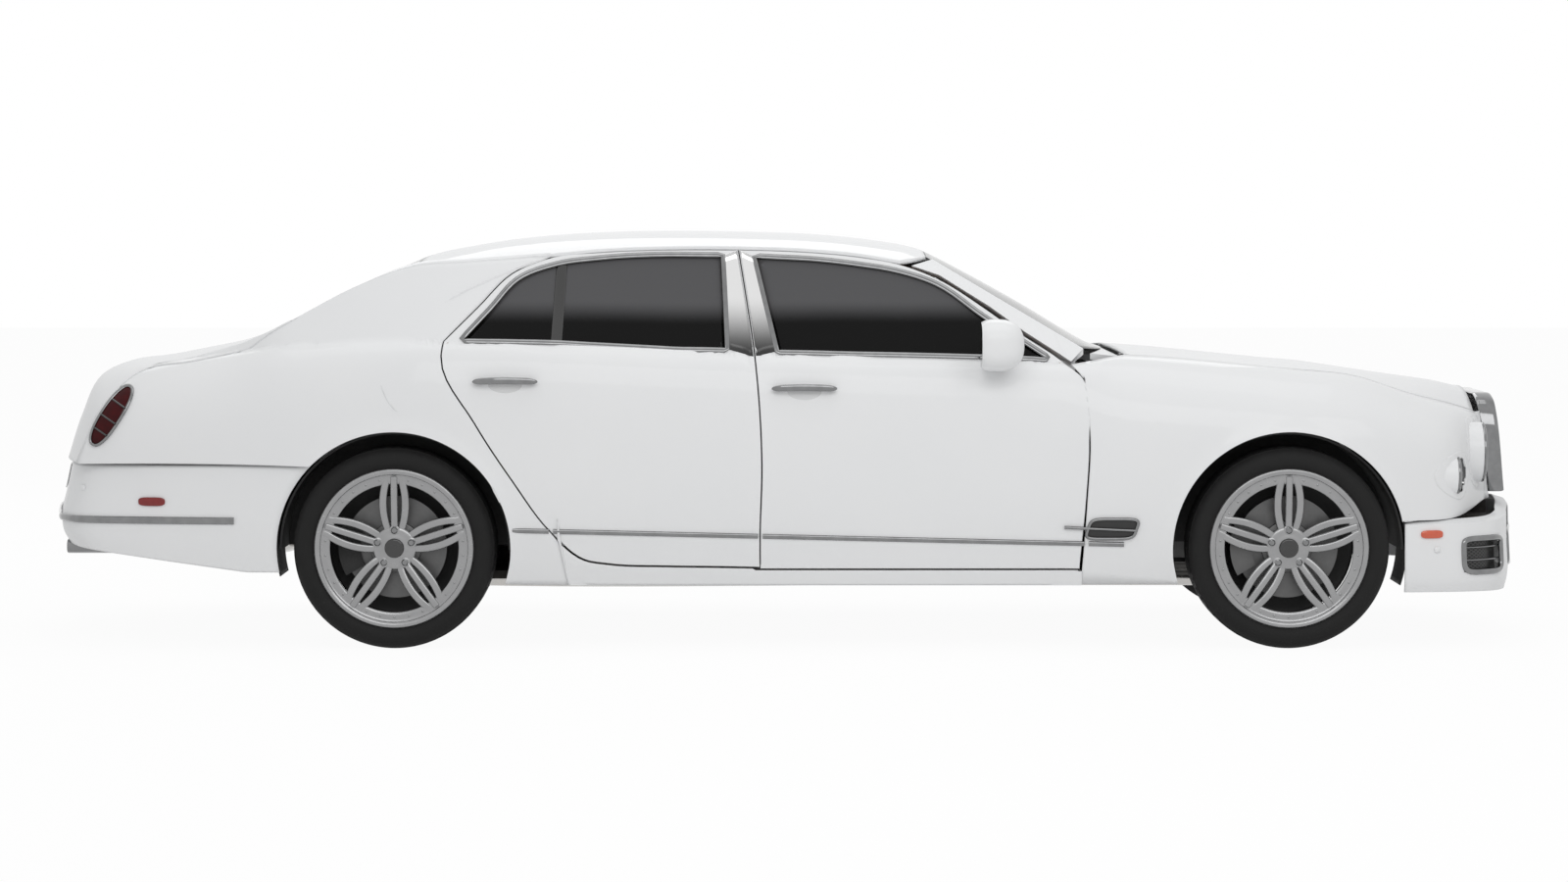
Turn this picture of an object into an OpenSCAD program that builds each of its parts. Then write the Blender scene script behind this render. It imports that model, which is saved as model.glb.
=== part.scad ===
// Luxury sedan: four doors, three-box body, upright grille, round lamps.
// X runs forward, Y to the car's left, Z up. The origin is on the ground, at the middle of the body's box.

/* [Overall] */
// Distance between the axles
wheelbase = 3270; // [2900:10:3500]
// Front axle to the nose
front_overhang = 942; // [850:1:1050]
// Rear axle to the tail
rear_overhang = 1363; // [1200:1:1500]
// Width over the doors
overall_width = 1926; // [1800:2:2050]
// Height of the roof
overall_height = 1521; // [1400:1:1600]

/* [Wheels] */
// Distance between the tyres' middles on one axle
track = 1620; // [1540:2:1680]
// Outside diameter of a tyre
tyre_d = 738; // [690:2:760]
// Width of a tyre
tyre_w = 255; // [215:5:275]
// Height of a tyre's sidewall over the rim's lip
sidewall_h = 76; // [66:1:90]
// Gap between the rim's lip and the edge of the brake disc
disc_gap = 106; // [90:1:120]
// Gap between a tyre and its wheel arch
arch_gap = 58; // [45:1:75]

/* [Panels] */
// Gap between a moving panel and its neighbour
shut_gap = 8; // [6:1:10]
// Gap between fixed panels
fixed_gap = 0.3; // [0.2:0.1:1]
// Thickness of a fixed outer panel
panel_t = 22; // [15:1:35]
// Thickness of a door below the glass
door_t = 105; // [80:1:120]
// Thickness of a door's window frame
frame_t = 40; // [30:1:50]
// Thickness of the skin at a door's edge
flange_t = 7; // [5:0.5:9]
// Thickness of a pane
glass_t = 5; // [4:0.5:8]
// Thickness of the floor
floor_t = 30; // [20:1:50]

/* [Hinges] */
// Distance of a door's hinge pin behind its front edge
hinge_back = 100; // [90:1:110]
// Depth of a door's hinge pin under the widest skin
hinge_depth = 24; // [22:1:28]
// Diameter of a hinge pin
pin_d = 10; // [8:1:12]
// Clearance round a pin
pin_clear = 0.1; // [0.05:0.05:0.3]

/* [Hidden] */

// Derived places
half_w = overall_width / 2;
body_l = rear_overhang + wheelbase + front_overhang;
rear_x = rear_overhang - body_l / 2;
front_x = rear_x + wheelbase;
axle_z = tyre_d / 2;
arch_d = tyre_d + 2 * arch_gap;
arch_r = arch_d / 2;
rim_d = tyre_d - 2 * sidewall_h;
disc_d = rim_d - 2 * disc_gap;
sill_foot_share = 0.153189;
sill_z = overall_height * sill_foot_share;

// Stations along the body: -1 is the tail, 0 the rear axle, 1 the front axle and 2 the nose.
function sx(s) = s < 0 ? rear_x + s * rear_overhang
    : s < 1 ? rear_x + s * wheelbase : front_x + (s - 1) * front_overhang;
function hz(s) = s * overall_height;
function wy(s) = s * half_w;
function place(p) = [sx(p[0]), hz(p[1])];
function places(t) = [for (p = t) place(p)];

// Cubic curve through a table of points in rising order
function lin(a, b, t) = a + (b - a) * t;
function clamp(a, low, high) = min(max(a, low), high);
function seg(t, x, i = 0) = (i >= len(t) - 2 || x < t[i + 1][0]) ? i : seg(t, x, i + 1);
function slope(t, i, k) = let (a = max(i - 1, 0), b = min(i + 1, len(t) - 1))
    (t[b][k] - t[a][k]) / (t[b][0] - t[a][0]);
function curve(t, x, k = 1) = let (
    i = seg(t, x), h = t[i + 1][0] - t[i][0], u = clamp((x - t[i][0]) / h, 0, 1),
    a = t[i][k], b = t[i + 1][k], p = slope(t, i, k) * h, q = slope(t, i + 1, k) * h)
    a + u * (p + u * (3 * (b - a) - 2 * p - q + u * (2 * (a - b) + p + q)));

// Widest half width along the body, as shares of the half width
plan_shares = [[-1, 0.62], [-0.95, 0.75], [-0.85, 0.86], [-0.65, 0.925], [-0.35, 0.968], [0, 0.988],
    [0.2, 0.998], [0.45, 1], [0.75, 0.998], [1, 0.985], [1.28, 0.965], [1.5, 0.925], [1.66, 0.84],
    [1.75, 0.66], [1.84, 0.42], [1.9, 0.3]];
plan_line = [for (p = plan_shares) [sx(p[0]), wy(p[1])]];
// Upper edge of the flanks: belt, bonnet edge and boot edge, as height and width shares
edge_shares = [[-1, 0.45, 0.6], [-0.95, 0.5, 0.62], [-0.86, 0.62, 0.64], [-0.7, 0.668, 0.66], [-0.47,
    0.705, 0.7],
    [-0.3, 0.725, 0.8], [0.058, 0.734, 0.885], [0.396, 0.707, 0.895], [0.7475, 0.686, 0.885],
    [0.78, 0.692, 0.83], [0.82, 0.704, 0.7], [1.04, 0.668, 0.66], [1.28, 0.652, 0.645], [1.505, 0.6075,
        0.6],
    [1.696, 0.5765, 0.46], [1.84, 0.55, 0.36]];
edge_line = [for (p = edge_shares) [sx(p[0]), hz(p[1]), wy(p[2])]];
// Height of the widest line, tuck under it at the sill, roll of the shoulder and lean of the side glass
waist_share = 0.42;
tuck_share = 0.057;
shoulder_power = 3;
lean_share = 0.585;
waist_z = hz(waist_share);
tuck = wy(tuck_share);

function plan_y(x) = curve(plan_line, x);
function edge_z(x) = curve(edge_line, x, 1);
function edge_y(x) = min(curve(edge_line, x, 2), plan_y(x));
// Half width of the body's side at a place along it and a height
function side_y(x, z) = z < waist_z ? plan_y(x) - tuck * pow((waist_z - z) / (waist_z - sill_z), 2)
    : z < edge_z(x) ? edge_y(x) + (plan_y(x) - edge_y(x))
        * sqrt(max(0, 1 - pow((z - waist_z) / (edge_z(x) - waist_z), shoulder_power)))
    : edge_y(x) - lean_share * (z - edge_z(x));

// Closed loops in side view
function next(t, i) = t[(i + 1) % len(t)];
function before(t, i) = t[(i + len(t) - 1) % len(t)];
function unit(v) = v / norm(v);
// Each point moved to the left of its way round by its own distance
function inset(t, d) = [for (i = [0 : len(t) - 1]) let (
    a = unit(t[i] - before(t, i)), b = unit(next(t, i) - t[i]), n = unit([-a[1] - b[1], a[0] + b[0]]))
    t[i] + n * (is_list(d) ? d[i] : d) / max(0.6, n * [-a[1], a[0]])];
function doubled(t) = [for (i = [0 : len(t) - 1], h = [0, 0.5]) lin(t[i], next(t, i), h)];
function blend(a, b, v) = [for (i = [0 : len(a) - 1]) lin(a[i], b[i], v)];
// A loop laid on the body's side, sunk by a depth
function skin(t, depth = 0) = [for (i = [0 : len(t) - 1])
    [t[i][0], side_y(t[i][0], t[i][1]) - (is_list(depth) ? depth[i] : depth), t[i][1]]];

// Solids from grids of points: every row has as many points as the first
function flat(rows) = [for (r = rows, p = r) p];
function quad_faces(rows, cols, wrap_rows, wrap_cols) = [
    for (i = [0 : rows - (wrap_rows ? 1 : 2)], j = [0 : cols - (wrap_cols ? 1 : 2)], f = [0, 1])
        let (a = i * cols + j, b = i * cols + (j + 1) % cols, e = (i + 1) % rows * cols,
            c = e + j, d = e + (j + 1) % cols)
        f == 0 ? [a, c, b] : [b, c, d]];
function turned(faces, flip) = flip ? [for (f = faces) [f[2], f[1], f[0]]] : faces;
// Rows wrap round both ways, as on a ring
module ring_solid(rows, flip = false)
    polyhedron(flat(rows), turned(quad_faces(len(rows), len(rows[0]), true, true), flip));

// Doors
front_door_shares = [[0.766, 0.193], [0.773, 0.366], [0.776, 0.501], [0.769, 0.6535], [0.751, 0.685],
    [0.74, 0.703], [0.702, 0.755], [0.663, 0.815], [0.607, 0.89], [0.565, 0.923], [0.523, 0.939],
    [0.466, 0.9507], [0.425, 0.955], [0.384, 0.957], [0.394, 0.83], [0.403, 0.7035], [0.409, 0.562],
    [0.411, 0.4425], [0.409, 0.275], [0.409, 0.193], [0.53, 0.193], [0.65, 0.193]];
front_window_shares = [[0.69, 0.7035], [0.705, 0.702], [0.716, 0.701], [0.724, 0.6995], [0.7295, 0.699],
    [0.7185, 0.714], [0.693, 0.749], [0.66, 0.794], [0.607, 0.8725], [0.56, 0.905], [0.52, 0.919],
    [0.466, 0.932], [0.43, 0.936], [0.404, 0.939], [0.4165, 0.83], [0.4295, 0.717], [0.44, 0.7165],
    [0.455, 0.716], [0.475, 0.715], [0.5, 0.7135], [0.56, 0.711], [0.63, 0.7075]];
rear_door_shares = [[0.409, 0.197], [0.409, 0.275], [0.411, 0.4425], [0.409, 0.562], [0.403, 0.7035],
    [0.394, 0.83], [0.384, 0.957], [0.345, 0.9575], [0.303, 0.957], [0.226, 0.9507], [0.173, 0.939],
    [0.129, 0.9], [0.092, 0.82], [0.0546, 0.739], [0.053, 0.7035], [0.091, 0.544], [0.133, 0.406],
    [0.177, 0.279], [0.2135, 0.2155], [0.239, 0.206], [0.305, 0.2005], [0.36, 0.199]];
rear_window_shares = [[0.32, 0.724], [0.335, 0.7235], [0.35, 0.723], [0.36, 0.7225], [0.3705, 0.722],
    [0.368, 0.83], [0.365, 0.9415], [0.34, 0.942], [0.303, 0.9425], [0.226, 0.934], [0.179, 0.92],
    [0.136, 0.884], [0.107, 0.815], [0.0766, 0.744], [0.092, 0.7435], [0.115, 0.743], [0.14, 0.742],
    [0.165, 0.741], [0.19, 0.739], [0.215, 0.736], [0.25, 0.732], [0.285, 0.728]];
// Points of an outline that lie on the hinged edge, from the first on
hinged_points = 4;
edge_rebate = 14;
hinge_spare = 25;
hinge_rebate = hinge_back + hinge_spare;
function rebates(n) = [for (i = [0 : n - 1]) i < hinged_points ? hinge_rebate : edge_rebate];
// Depth of a door's inner face
function door_depth(x, z) = lin(frame_t, door_t, clamp((edge_z(x) - z) / door_t, 0, 1));
function depths(t) = [for (p = t) door_depth(p[0], p[1])];

door_row_shares = [1, 0.96, 0.9, 0.78, 0.5, 0.25, 0];
module door(outline_shares, window_shares) {
    outline = places(outline_shares);
    edge = doubled(inset(outline, shut_gap / 2));
    window = doubled(places(window_shares));
    rebate = doubled(inset(outline, [for (r = rebates(len(outline))) r + shut_gap / 2]));
    middle = blend(rebate, window, 0.5);
    ring_solid([for (v = door_row_shares) skin(blend(edge, window, v)),
        skin(edge, flange_t), skin(rebate, flange_t), skin(rebate, depths(rebate)),
        skin(middle, depths(middle)), skin(window, frame_t)]);
}
module front_door_left() color("white") door(front_door_shares, front_window_shares);
module front_door_right() color("white") mirror([0, 1, 0]) door(front_door_shares, front_window_shares);
module rear_door_left() color("white") door(rear_door_shares, rear_window_shares);
module rear_door_right() color("white") mirror([0, 1, 0]) door(rear_door_shares, rear_window_shares);

// A panel: a grid of outer points, the same grid moved inwards, and walls round its border
function border(rows, cols) = concat([for (j = [0 : cols - 2]) j], [for (i = [0 : rows - 2])
    i * cols + cols - 1],
    [for (j = [cols - 1 : -1 : 1]) (rows - 1) * cols + j], [for (i = [rows - 1 : -1 : 1]) i * cols]);
module slab(outer, inner, flip = false) {
    rows = len(outer);
    cols = len(outer[0]);
    count = rows * cols;
    faces = quad_faces(rows, cols, false, false);
    back = [for (f = faces) [f[2] + count, f[1] + count, f[0] + count]];
    loop = border(rows, cols);
    walls = [for (i = [0 : len(loop) - 1], f = [0, 1]) let (a = loop[i], b = next(loop, i))
        f == 0 ? [a, b, a + count] : [b, b + count, a + count]];
    polyhedron(concat(flat(outer), flat(inner)), turned(concat(faces, back, walls), flip));
}
function moved(rows, d) = [for (r = rows) [for (p = r) p + d]];
function spread(n) = [for (i = [0 : n - 1]) 2 * i / (n - 1) - 1];

// Top line of the body on its centre line
deck_shares = [[-0.945, 0.455], [-0.9, 0.567], [-0.876, 0.621], [-0.835, 0.668], [-0.779, 0.676],
    [-0.668, 0.69],
    [-0.558, 0.71], [-0.447, 0.732], [-0.392, 0.75], [-0.226, 0.8245], [-0.0605, 0.8935], [0.021, 0.938],
    [0.067, 0.9606], [0.136, 0.983], [0.228, 0.997], [0.332, 1], [0.436, 0.9954], [0.482, 0.99], [0.528,
        0.98],
    [0.574, 0.965], [0.597, 0.9507], [0.643, 0.901], [0.712, 0.819], [0.781, 0.7305], [0.804, 0.71],
    [0.828, 0.708], [0.873, 0.6955], [1.04, 0.673], [1.28, 0.658], [1.52, 0.638], [1.68, 0.624], [1.78,
        0.61]];
deck_line = places(deck_shares);
function deck_z(x) = curve(deck_line, x);

// Roof: stations from the screen back, with the height and the widest share of its edge
roof_shares = [[0.596, 0.941, 0.623], [0.566, 0.929, 0.72], [0.523, 0.945, 0.72], [0.466, 0.9565, 0.72],
    [0.384, 0.963, 0.72], [0.303, 0.963, 0.72], [0.226, 0.9565, 0.72], [0.173, 0.9455, 0.72],
    [0.129, 0.938, 0.672], [0.075, 0.93, 0.64], [0.022, 0.922, 0.6]];
roof_crown = 2.4;
roof_inset_share = 0.9;
function roof_row(p) = let (x = sx(p[0]), z = hz(p[1]), y = min(side_y(x, z), wy(p[2])))
    [for (v = spread(11)) [x, v * y, lin(deck_z(x), z, pow(abs(v), roof_crown))]];
module roof() color("white") {
    rows = [for (p = roof_shares) roof_row(p)];
    slab(rows, [for (r = rows) [for (p = r) [p[0], p[1] * roof_inset_share, p[2] - panel_t]]]);
}
// Panes that bow between a centre line and two sides: rows of centre and side points
function pane_row(c, s) = [for (v = spread(9)) [lin(c[0], s[0], v * v), v * s[1], lin(c[1], s[2], v * v)]];
function bowed(top, base, n) = [for (i = [0 : n - 1]) let (t = i / (n - 1),
    xc = lin(top[0], base[0], t), s = [for (k = [1 : 3]) lin(top[k], base[k], t)])
    pane_row([xc, deck_z(xc)], s)];
screen_top_shares = [0.599, 0.59676, 0.62, 0.939];
screen_base_shares = [0.806, 0.769, 0.815, 0.722];
function pane_corner(p) = [sx(p[0]), sx(p[1]), wy(p[2]), hz(p[3])];
module windscreen() color("dimgray") {
    rows = bowed(pane_corner(screen_top_shares), pane_corner(screen_base_shares), 6);
    slab(rows, moved(rows, [-glass_t / 2, 0, -glass_t]));
}
rear_top_shares = [0.0211, 0.0211, 0.597, 0.9195];
rear_base_shares = [-0.388, -0.365, 0.665, 0.742];
module rear_window() color("dimgray") {
    rows = bowed(pane_corner(rear_top_shares), pane_corner(rear_base_shares), 6);
    slab(rows, moved(rows, [glass_t / 2, 0, -glass_t]), true);
}

// Bonnet: from the cowl to the grille, its edges on the flanks' upper edges
bonnet_shares = [0.822, 0.84, 0.9, 1, 1.15, 1.35, 1.52, 1.65, 1.765];
bonnet_crown = 2.2;
function bonnet_row(s) = let (x = sx(s), y = edge_y(x) - shut_gap, z = edge_z(x))
    [for (v = spread(11)) [x, v * y, lin(deck_z(x), z, pow(abs(v), bonnet_crown))]];
lid_axis_drop = 12;
bonnet_axis = [sx(bonnet_shares[0]) - pin_d - fixed_gap, deck_z(sx(bonnet_shares[0])) - lid_axis_drop];
lid_hinge_shares = [0.58, 0.3];
bonnet_hinge_y = wy(lid_hinge_shares[0]);
boot_hinge_y = wy(lid_hinge_shares[1]);
lid_hinge_w = 40;
module bonnet() color("white") {
    rows = [for (s = bonnet_shares) bonnet_row(s)];
    slab(rows, moved(rows, [0, 0, -panel_t]), true);
    lid_knuckles(bonnet_axis, bonnet_hinge_y);
}
// Boot lid: centre and side points from the rear window over the deck and down the tail
boot_centre_shares = [[-0.401, 0.7455], [-0.47, 0.7265], [-0.558, 0.71], [-0.7, 0.686], [-0.79, 0.675],
    [-0.855, 0.648], [-0.9, 0.567], [-0.944, 0.455]];
boot_side_shares = [[-0.405, 0.717], [-0.475, 0.7035], [-0.558, 0.688], [-0.7, 0.663], [-0.765, 0.61],
    [-0.8, 0.57], [-0.838, 0.492], [-0.862, 0.445]];
boot_crown = 2.4;
function boot_row(i) = let (c = place(boot_centre_shares[i]), s = place(boot_side_shares[i]),
    y = side_y(s[0], s[1]) - shut_gap)
    [for (v = spread(13)) [lin(c[0], s[0], pow(abs(v), boot_crown)), v * y, lin(c[1], s[1], pow(abs(v),
        boot_crown))]];
boot_axis = [sx(boot_centre_shares[0][0]) + pin_d + fixed_gap, hz(boot_centre_shares[0][1])
    - lid_axis_drop];
module boot_lid() color("white") {
    rows = [for (i = [0 : len(boot_centre_shares) - 1]) boot_row(i)];
    inner = [for (i = [0 : len(rows) - 1]) [for (p = rows[i])
        p + panel_t * lid_inwards(i / (len(rows) - 1))]];
    slab(rows, inner);
    lid_knuckles(boot_axis, boot_hinge_y);
}
// Way from a lid's skin to its inner face: down on the deck, forwards on the tail
function lid_inwards(t) = t < 0.5 ? [0, 0, -1] : [min(1, (t - 0.5) * 3), 0, -max(0.2, 1 - (t - 0.5) * 2)];
// Knuckles of a lid on its axis, at the lid's front or rear edge
module lid_knuckles(axis, hinge_y) for (side = [-1, 1])
    translate([axis[0], side * hinge_y - lid_hinge_w / 2, axis[1]]) rotate([-90, 0, 0]) difference() {
        cylinder(h = lid_hinge_w, d = pin_d * 2, $fn = 48);
        translate([0, 0, -pin_d]) cylinder(h = lid_hinge_w + 2 * pin_d, d = pin_d + 2 * pin_clear,
            $fn = 48);
    }

// Panels with a wheel arch: an arc about the axle, rows between, and an outer line. A third value in a point of
// the outer line is its own half width share.
function arc_point(x, a) = [x + arch_r * cos(a), axle_z + arch_r * sin(a)];
function denser(t) = concat([for (i = [0 : len(t) - 2], h = [0, 0.5]) lin(t[i], t[i + 1], h)], [t[len(t)
    - 1]]);
// The inner face goes inwards on the flank, down under the top edge and forwards at the tail
tail_turn_shares = [-0.6, -0.8];
function depth_way(x, z) = let (up = clamp((z - waist_z) / (edge_z(x) - waist_z), 0, 1),
    k = z > edge_z(x) ? 0.33 : pow(up, 6),
    q = clamp((sx(tail_turn_shares[0]) - x) / (sx(tail_turn_shares[0]) - sx(tail_turn_shares[1])), 0, 1))
    [q, -(1 - q) * (1 - k), -(1 - q) * k];
function laid(p, depth) = [p[0], side_y(p[0], p[1]), p[1]] + depth * depth_way(p[0], p[1]);
function arch_rows(arc, middle, outer, depth) = [for (v = [0, 0.3, 0.6, 0.85, 1])
    [for (i = [0 : len(arc) - 1]) laid(v < 0.5 ? lin(arc[i], middle[i], v / 0.5) : lin(middle[i],
        outer[i], v / 0.5 - 1),
        depth)]];
module arch_panel(arc, middle, outer, flip)
    slab(arch_rows(arc, middle, outer, 0), arch_rows(arc, middle, outer, panel_t), flip);

// Points of an outer line behind a place, kept on the flank's upper edge
function under_edge(t, x1) = [for (p = t) p[0] > x1 + fixed_gap ? p : [p[0], min(p[1], edge_z(p[0])
    - pin_clear / 4)]];

// Front wing: angle on the arch, then the outer line from the foot of the door round to the bumper
wing_angles = [198, 184, 168, 152, 143, 136, 128, 108, 88, 62, 45, 36, 31, 27, 23, 18, 13];
wing_shares = [[0.7685, 0.155], [0.7755, 0.366], [0.7785, 0.501], [0.7715, 0.655], [0.757, 0.684], [0.78,
    0.6915],
    [0.82, 0.7035], [0.93, 0.687], [1.04, 0.6675], [1.28, 0.6515], [1.505, 0.607], [1.696, 0.576], [1.8,
        0.556],
    [1.84, 0.46], [1.84, 0.34], [1.66, 0.312], [1.45, 0.308]];
module wing() {
    arc = denser([for (a = wing_angles) arc_point(front_x, a)]);
    outer = under_edge(denser(places(wing_shares)), front_x + front_overhang);
    difference() {
        arch_panel(arc, blend(arc, outer, 0.5), outer, false);
        lamp_at(inner_lamp_shares) lamp_hole(inner_lamp_d);
        lamp_at(outer_lamp_shares) lamp_hole(outer_lamp_d);
    }
}
module lamp_hole(d) cylinder(h = 4 * lamp_l, d = d + 2 * fixed_gap, center = true, $fn = 64);
// Rear quarter with the pillar behind the rear door
quarter_angles = [-18, -5, 10, 26, 42, 56, 62, 66, 70, 74, 78, 83, 88, 93, 98, 102, 106, 110, 114, 119,
    124, 129, 133, 135.5];
quarter_middle_shares = [[0.165, 0.154], [0.165, 0.24], [0.15, 0.285], [0.115, 0.4], [0.075, 0.53],
    [0.04, 0.68],
    [0.03, 0.715], [0.02, 0.725], [0.01, 0.728], [-0.01, 0.728], [-0.04, 0.728], [-0.08, 0.726], [-0.14,
        0.724],
    [-0.22, 0.718], [-0.31, 0.71], [-0.37, 0.7], [-0.42, 0.685], [-0.48, 0.665], [-0.56, 0.64], [-0.6,
        0.59],
    [-0.6, 0.55], [-0.58, 0.5], [-0.56, 0.465], [-0.54, 0.4455]];
quarter_shares = [[0.194, 0.154], [0.1915, 0.236], [0.1745, 0.279], [0.1305, 0.406], [0.0885, 0.544],
    [0.0505, 0.7035],
    [0.051, 0.739], [0.0885, 0.821], [0.1255, 0.903], [0.129, 0.936], [0.075, 0.928], [0.022, 0.92],
    [-0.12, 0.866], [-0.25, 0.804], [-0.36, 0.745], [-0.405, 0.715], [-0.475, 0.7015], [-0.558, 0.686],
    [-0.7, 0.661], [-0.765, 0.608], [-0.8, 0.568], [-0.838, 0.49], [-0.86, 0.4445], [-0.855, 0.4425]];
module quarter() {
    arc = denser([for (a = quarter_angles) arc_point(rear_x, a)]);
    outer = under_edge(denser(places(quarter_shares)), sx(boot_side_shares[0][0]));
    arch_panel(arc, denser(places(quarter_middle_shares)), outer, true);
}
module wing_left() color("white") wing();
module wing_right() color("white") mirror([0, 1, 0]) wing();
module quarter_left() color("white") quarter();
module quarter_right() color("white") mirror([0, 1, 0]) quarter();

// Bumpers: half a plan line from the wheel arch to the middle, swept down a section of heights and set-backs
front_end_share = 1.452;
wall_shares = [0.07, 0.06, 0.965];
front_fall_share = 0.0292;
fall_above_share = 0.3;
front_plan_shares = [[front_end_share, 0.938], [1.55, 0.92], [1.7, 0.87], [1.82, 0.785], [1.92, 0.62],
    [1.97, 0.42],
    [1.993, 0.2], [1.9999, 0]];
front_section_shares = [[0.335, 0.1], [0.326, 0.012], [0.25, 0.006], [0.15, 0], [0.113, 0.024]];
rear_end_share = -0.3;
rear_plan_shares = [[rear_end_share, 0.968], [-0.5, 0.945], [-0.7, 0.905], [-0.85, 0.845], [-0.93, 0.74],
    [-0.975, 0.55],
    [-0.994, 0.3], [-0.9999, 0]];
rear_section_shares = [[0.439, 0.052], [0.352, 0.019], [0.309, 0], [0.2445, 0.0095], [0.185, 0.04]];
function both_halves(t) = concat([for (p = t) p], [for (i = [len(t) - 2 : -1 : 0]) [t[i][0], -t[i][1]]]);
module front_bumper() color("white") {
    plan = both_halves(front_plan_shares);
    rows = [for (s = front_section_shares) [for (p = plan) [sx(lin(p[0], front_end_share, s[1])),
        wy(p[1]) * (1 - s[1] / 2), lin(hz(s[0]),
            hz(s[0] - front_fall_share * (s[0] > fall_above_share ? 1 : 0)), abs(p[1]))]]];
    inner = [for (r = rows) [for (p = r) [lin(p[0], sx(front_end_share), wall_shares[0]),
        p[1] * wall_shares[2], p[2]]]];
    slab(rows, inner, true);
}
module rear_bumper() color("white") {
    plan = both_halves(rear_plan_shares);
    rows = [for (s = rear_section_shares) let (z = hz(s[0]), x = rear_x - sqrt(pow(arch_r, 2)
        - pow(z - axle_z, 2)))
        [for (i = [0 : len(plan) - 1]) let (p = plan[i], end = i == 0 || i == len(plan) - 1)
            [end ? x - fixed_gap : sx(lin(p[0], rear_end_share, s[1])), wy(p[1]) * (1 - s[1] / 6), z]]];
    inner = [for (r = rows) [for (p = r) [lin(p[0], sx(rear_end_share), wall_shares[1]),
        p[1] * wall_shares[2], p[2]]]];
    difference() {
        slab(rows, inner);
        for (m = [-1, 1]) at_tip(m) linear_extrude(2 * silencer_l, center = true) tip_outline(-fixed_gap);
    }
}

// Side frame: sill, hinge post, centre post and windscreen pillar of the left side
post_share = 0.83;
post_y = wy(post_share);
post_t = 60;
door_foot_share = 0.193;
sill_top_z = hz(door_foot_share) - shut_gap;
sill_in_share = 0.73;
sill_in_y = wy(sill_in_share);
sill_rear_share = 0.1941;
sill_front_share = 0.7684;
pillar_low_shares = [[0.58, 0.919], [0.611, 0.8965], [0.667, 0.8215], [0.706, 0.761], [0.744, 0.709],
    [0.757, 0.69]];
pillar_top_shares = [0.604, 0.6335, 0.934];
pillar_foot_shares = [0.7715, 0.827, 0.7205];
pillar_depth = 46;
module sill() translate([sx(sill_rear_share), 0, 0]) rotate([90, 0, 90])
    linear_extrude(sx(sill_front_share) - sx(sill_rear_share))
        polygon([[sill_in_y, sill_z], [side_y(0, sill_z), sill_z], [side_y(0, sill_top_z), sill_top_z],
            [post_y, sill_top_z], [post_y, sill_top_z + post_t / 2], [sill_in_y, sill_top_z + post_t / 2]]);
module post(x0, x1, z1) translate([x0, post_y - post_t, sill_top_z + post_t / 2 + fixed_gap])
    cube([x1 - x0, post_t - fixed_gap, z1 - sill_top_z - post_t / 2 - fixed_gap]);
module leaning_post(x0, x1, z0, y1, z1) hull() {
    translate([x0, post_y - post_t, z0]) cube([x1 - x0, post_t - fixed_gap, fixed_gap]);
    translate([x0, y1 - post_t / 2, z1]) cube([x1 - x0, post_t / 2, fixed_gap]);
}
module screen_pillar() {
    n = len(pillar_low_shares) - 1;
    low = [for (p = pillar_low_shares) [sx(p[0]), side_y(sx(p[0]), hz(p[1])), hz(p[1])]];
    high = [for (i = [0 : n]) let (p = lin(pillar_top_shares, pillar_foot_shares, i / n)) [sx(p[0]),
        wy(p[1]), hz(p[2])]];
    rows = [low, high];
    inner = [[for (p = low) p - [0, pillar_depth, pillar_depth / 3]],
        [for (p = high) p - [0, 0, pillar_depth / 2]]];
    slab(rows, inner, true);
}
belt_post_share = 0.69;
belt_post_z = hz(belt_post_share);
post_top_shares = [0.585, 0.948];
module side_frame() {
    sill();
    post(front_axis[0] - post_t, front_axis[0] + post_t, belt_post_z);
    post(rear_axis[0] - post_t, rear_axis[0] + hinge_back, belt_post_z);
    leaning_post(rear_axis[0] - post_t / 2, rear_axis[0] + post_t, belt_post_z + fixed_gap,
        wy(post_top_shares[0]), hz(post_top_shares[1]));
    screen_pillar();
}
module side_frame_left() color("white") side_frame();
module side_frame_right() color("white") mirror([0, 1, 0]) side_frame();

// Door hinges: upright axes under the skin, two hinges each
hinge_share = 0.776;
rear_hinge_share = 0.411;
hinge_height_shares = [0.34, 0.5];
front_axis = [sx(hinge_share) - shut_gap / 2 - hinge_back, plan_y(sx(hinge_share)) - hinge_depth];
rear_axis = [sx(rear_hinge_share) - shut_gap / 2 - hinge_back, plan_y(sx(rear_hinge_share)) - hinge_depth];
leaf_h = 26;
leaf_t = 12;
barrel_d = 18;
leaf_seat = 0.9;
// Leaf on the post, with the pin standing up from its barrel
module post_leaf(axis) for (h = hinge_height_shares) translate([axis[0], axis[1], hz(h)]) {
    cylinder(h = leaf_h, d = barrel_d, $fn = 48);
    cylinder(h = 2 * leaf_h, d = pin_d, $fn = 48);
    translate([-leaf_t / 2, post_y - axis[1], 0]) cube([leaf_t, axis[1] - post_y, leaf_h]);
}
// Leaf on the door: a barrel on the pin and a tongue back to the thick of the door
function front_edge_x(outline, z) = let (t = [for (i = [0 : hinged_points - 1]) [place(outline[i])[1],
    place(outline[i])[0]]])
    lookup(z, t);
module door_leaf(axis, outline) for (h = hinge_height_shares) let (z = hz(h) + leaf_h + fixed_gap,
    reach = axis[0] - front_edge_x(outline, z + leaf_h / 2) + hinge_rebate + shut_gap / 2 - leaf_seat)
    translate([axis[0], axis[1], z]) difference() {
        union() {
            cylinder(h = leaf_h, d = barrel_d, $fn = 48);
            translate([-reach, -leaf_t / 2, 0]) cube([reach, leaf_t, leaf_h]);
        }
        translate([0, 0, -leaf_h]) cylinder(h = 3 * leaf_h, d = pin_d + 2 * pin_clear, $fn = 48);
    }
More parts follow.
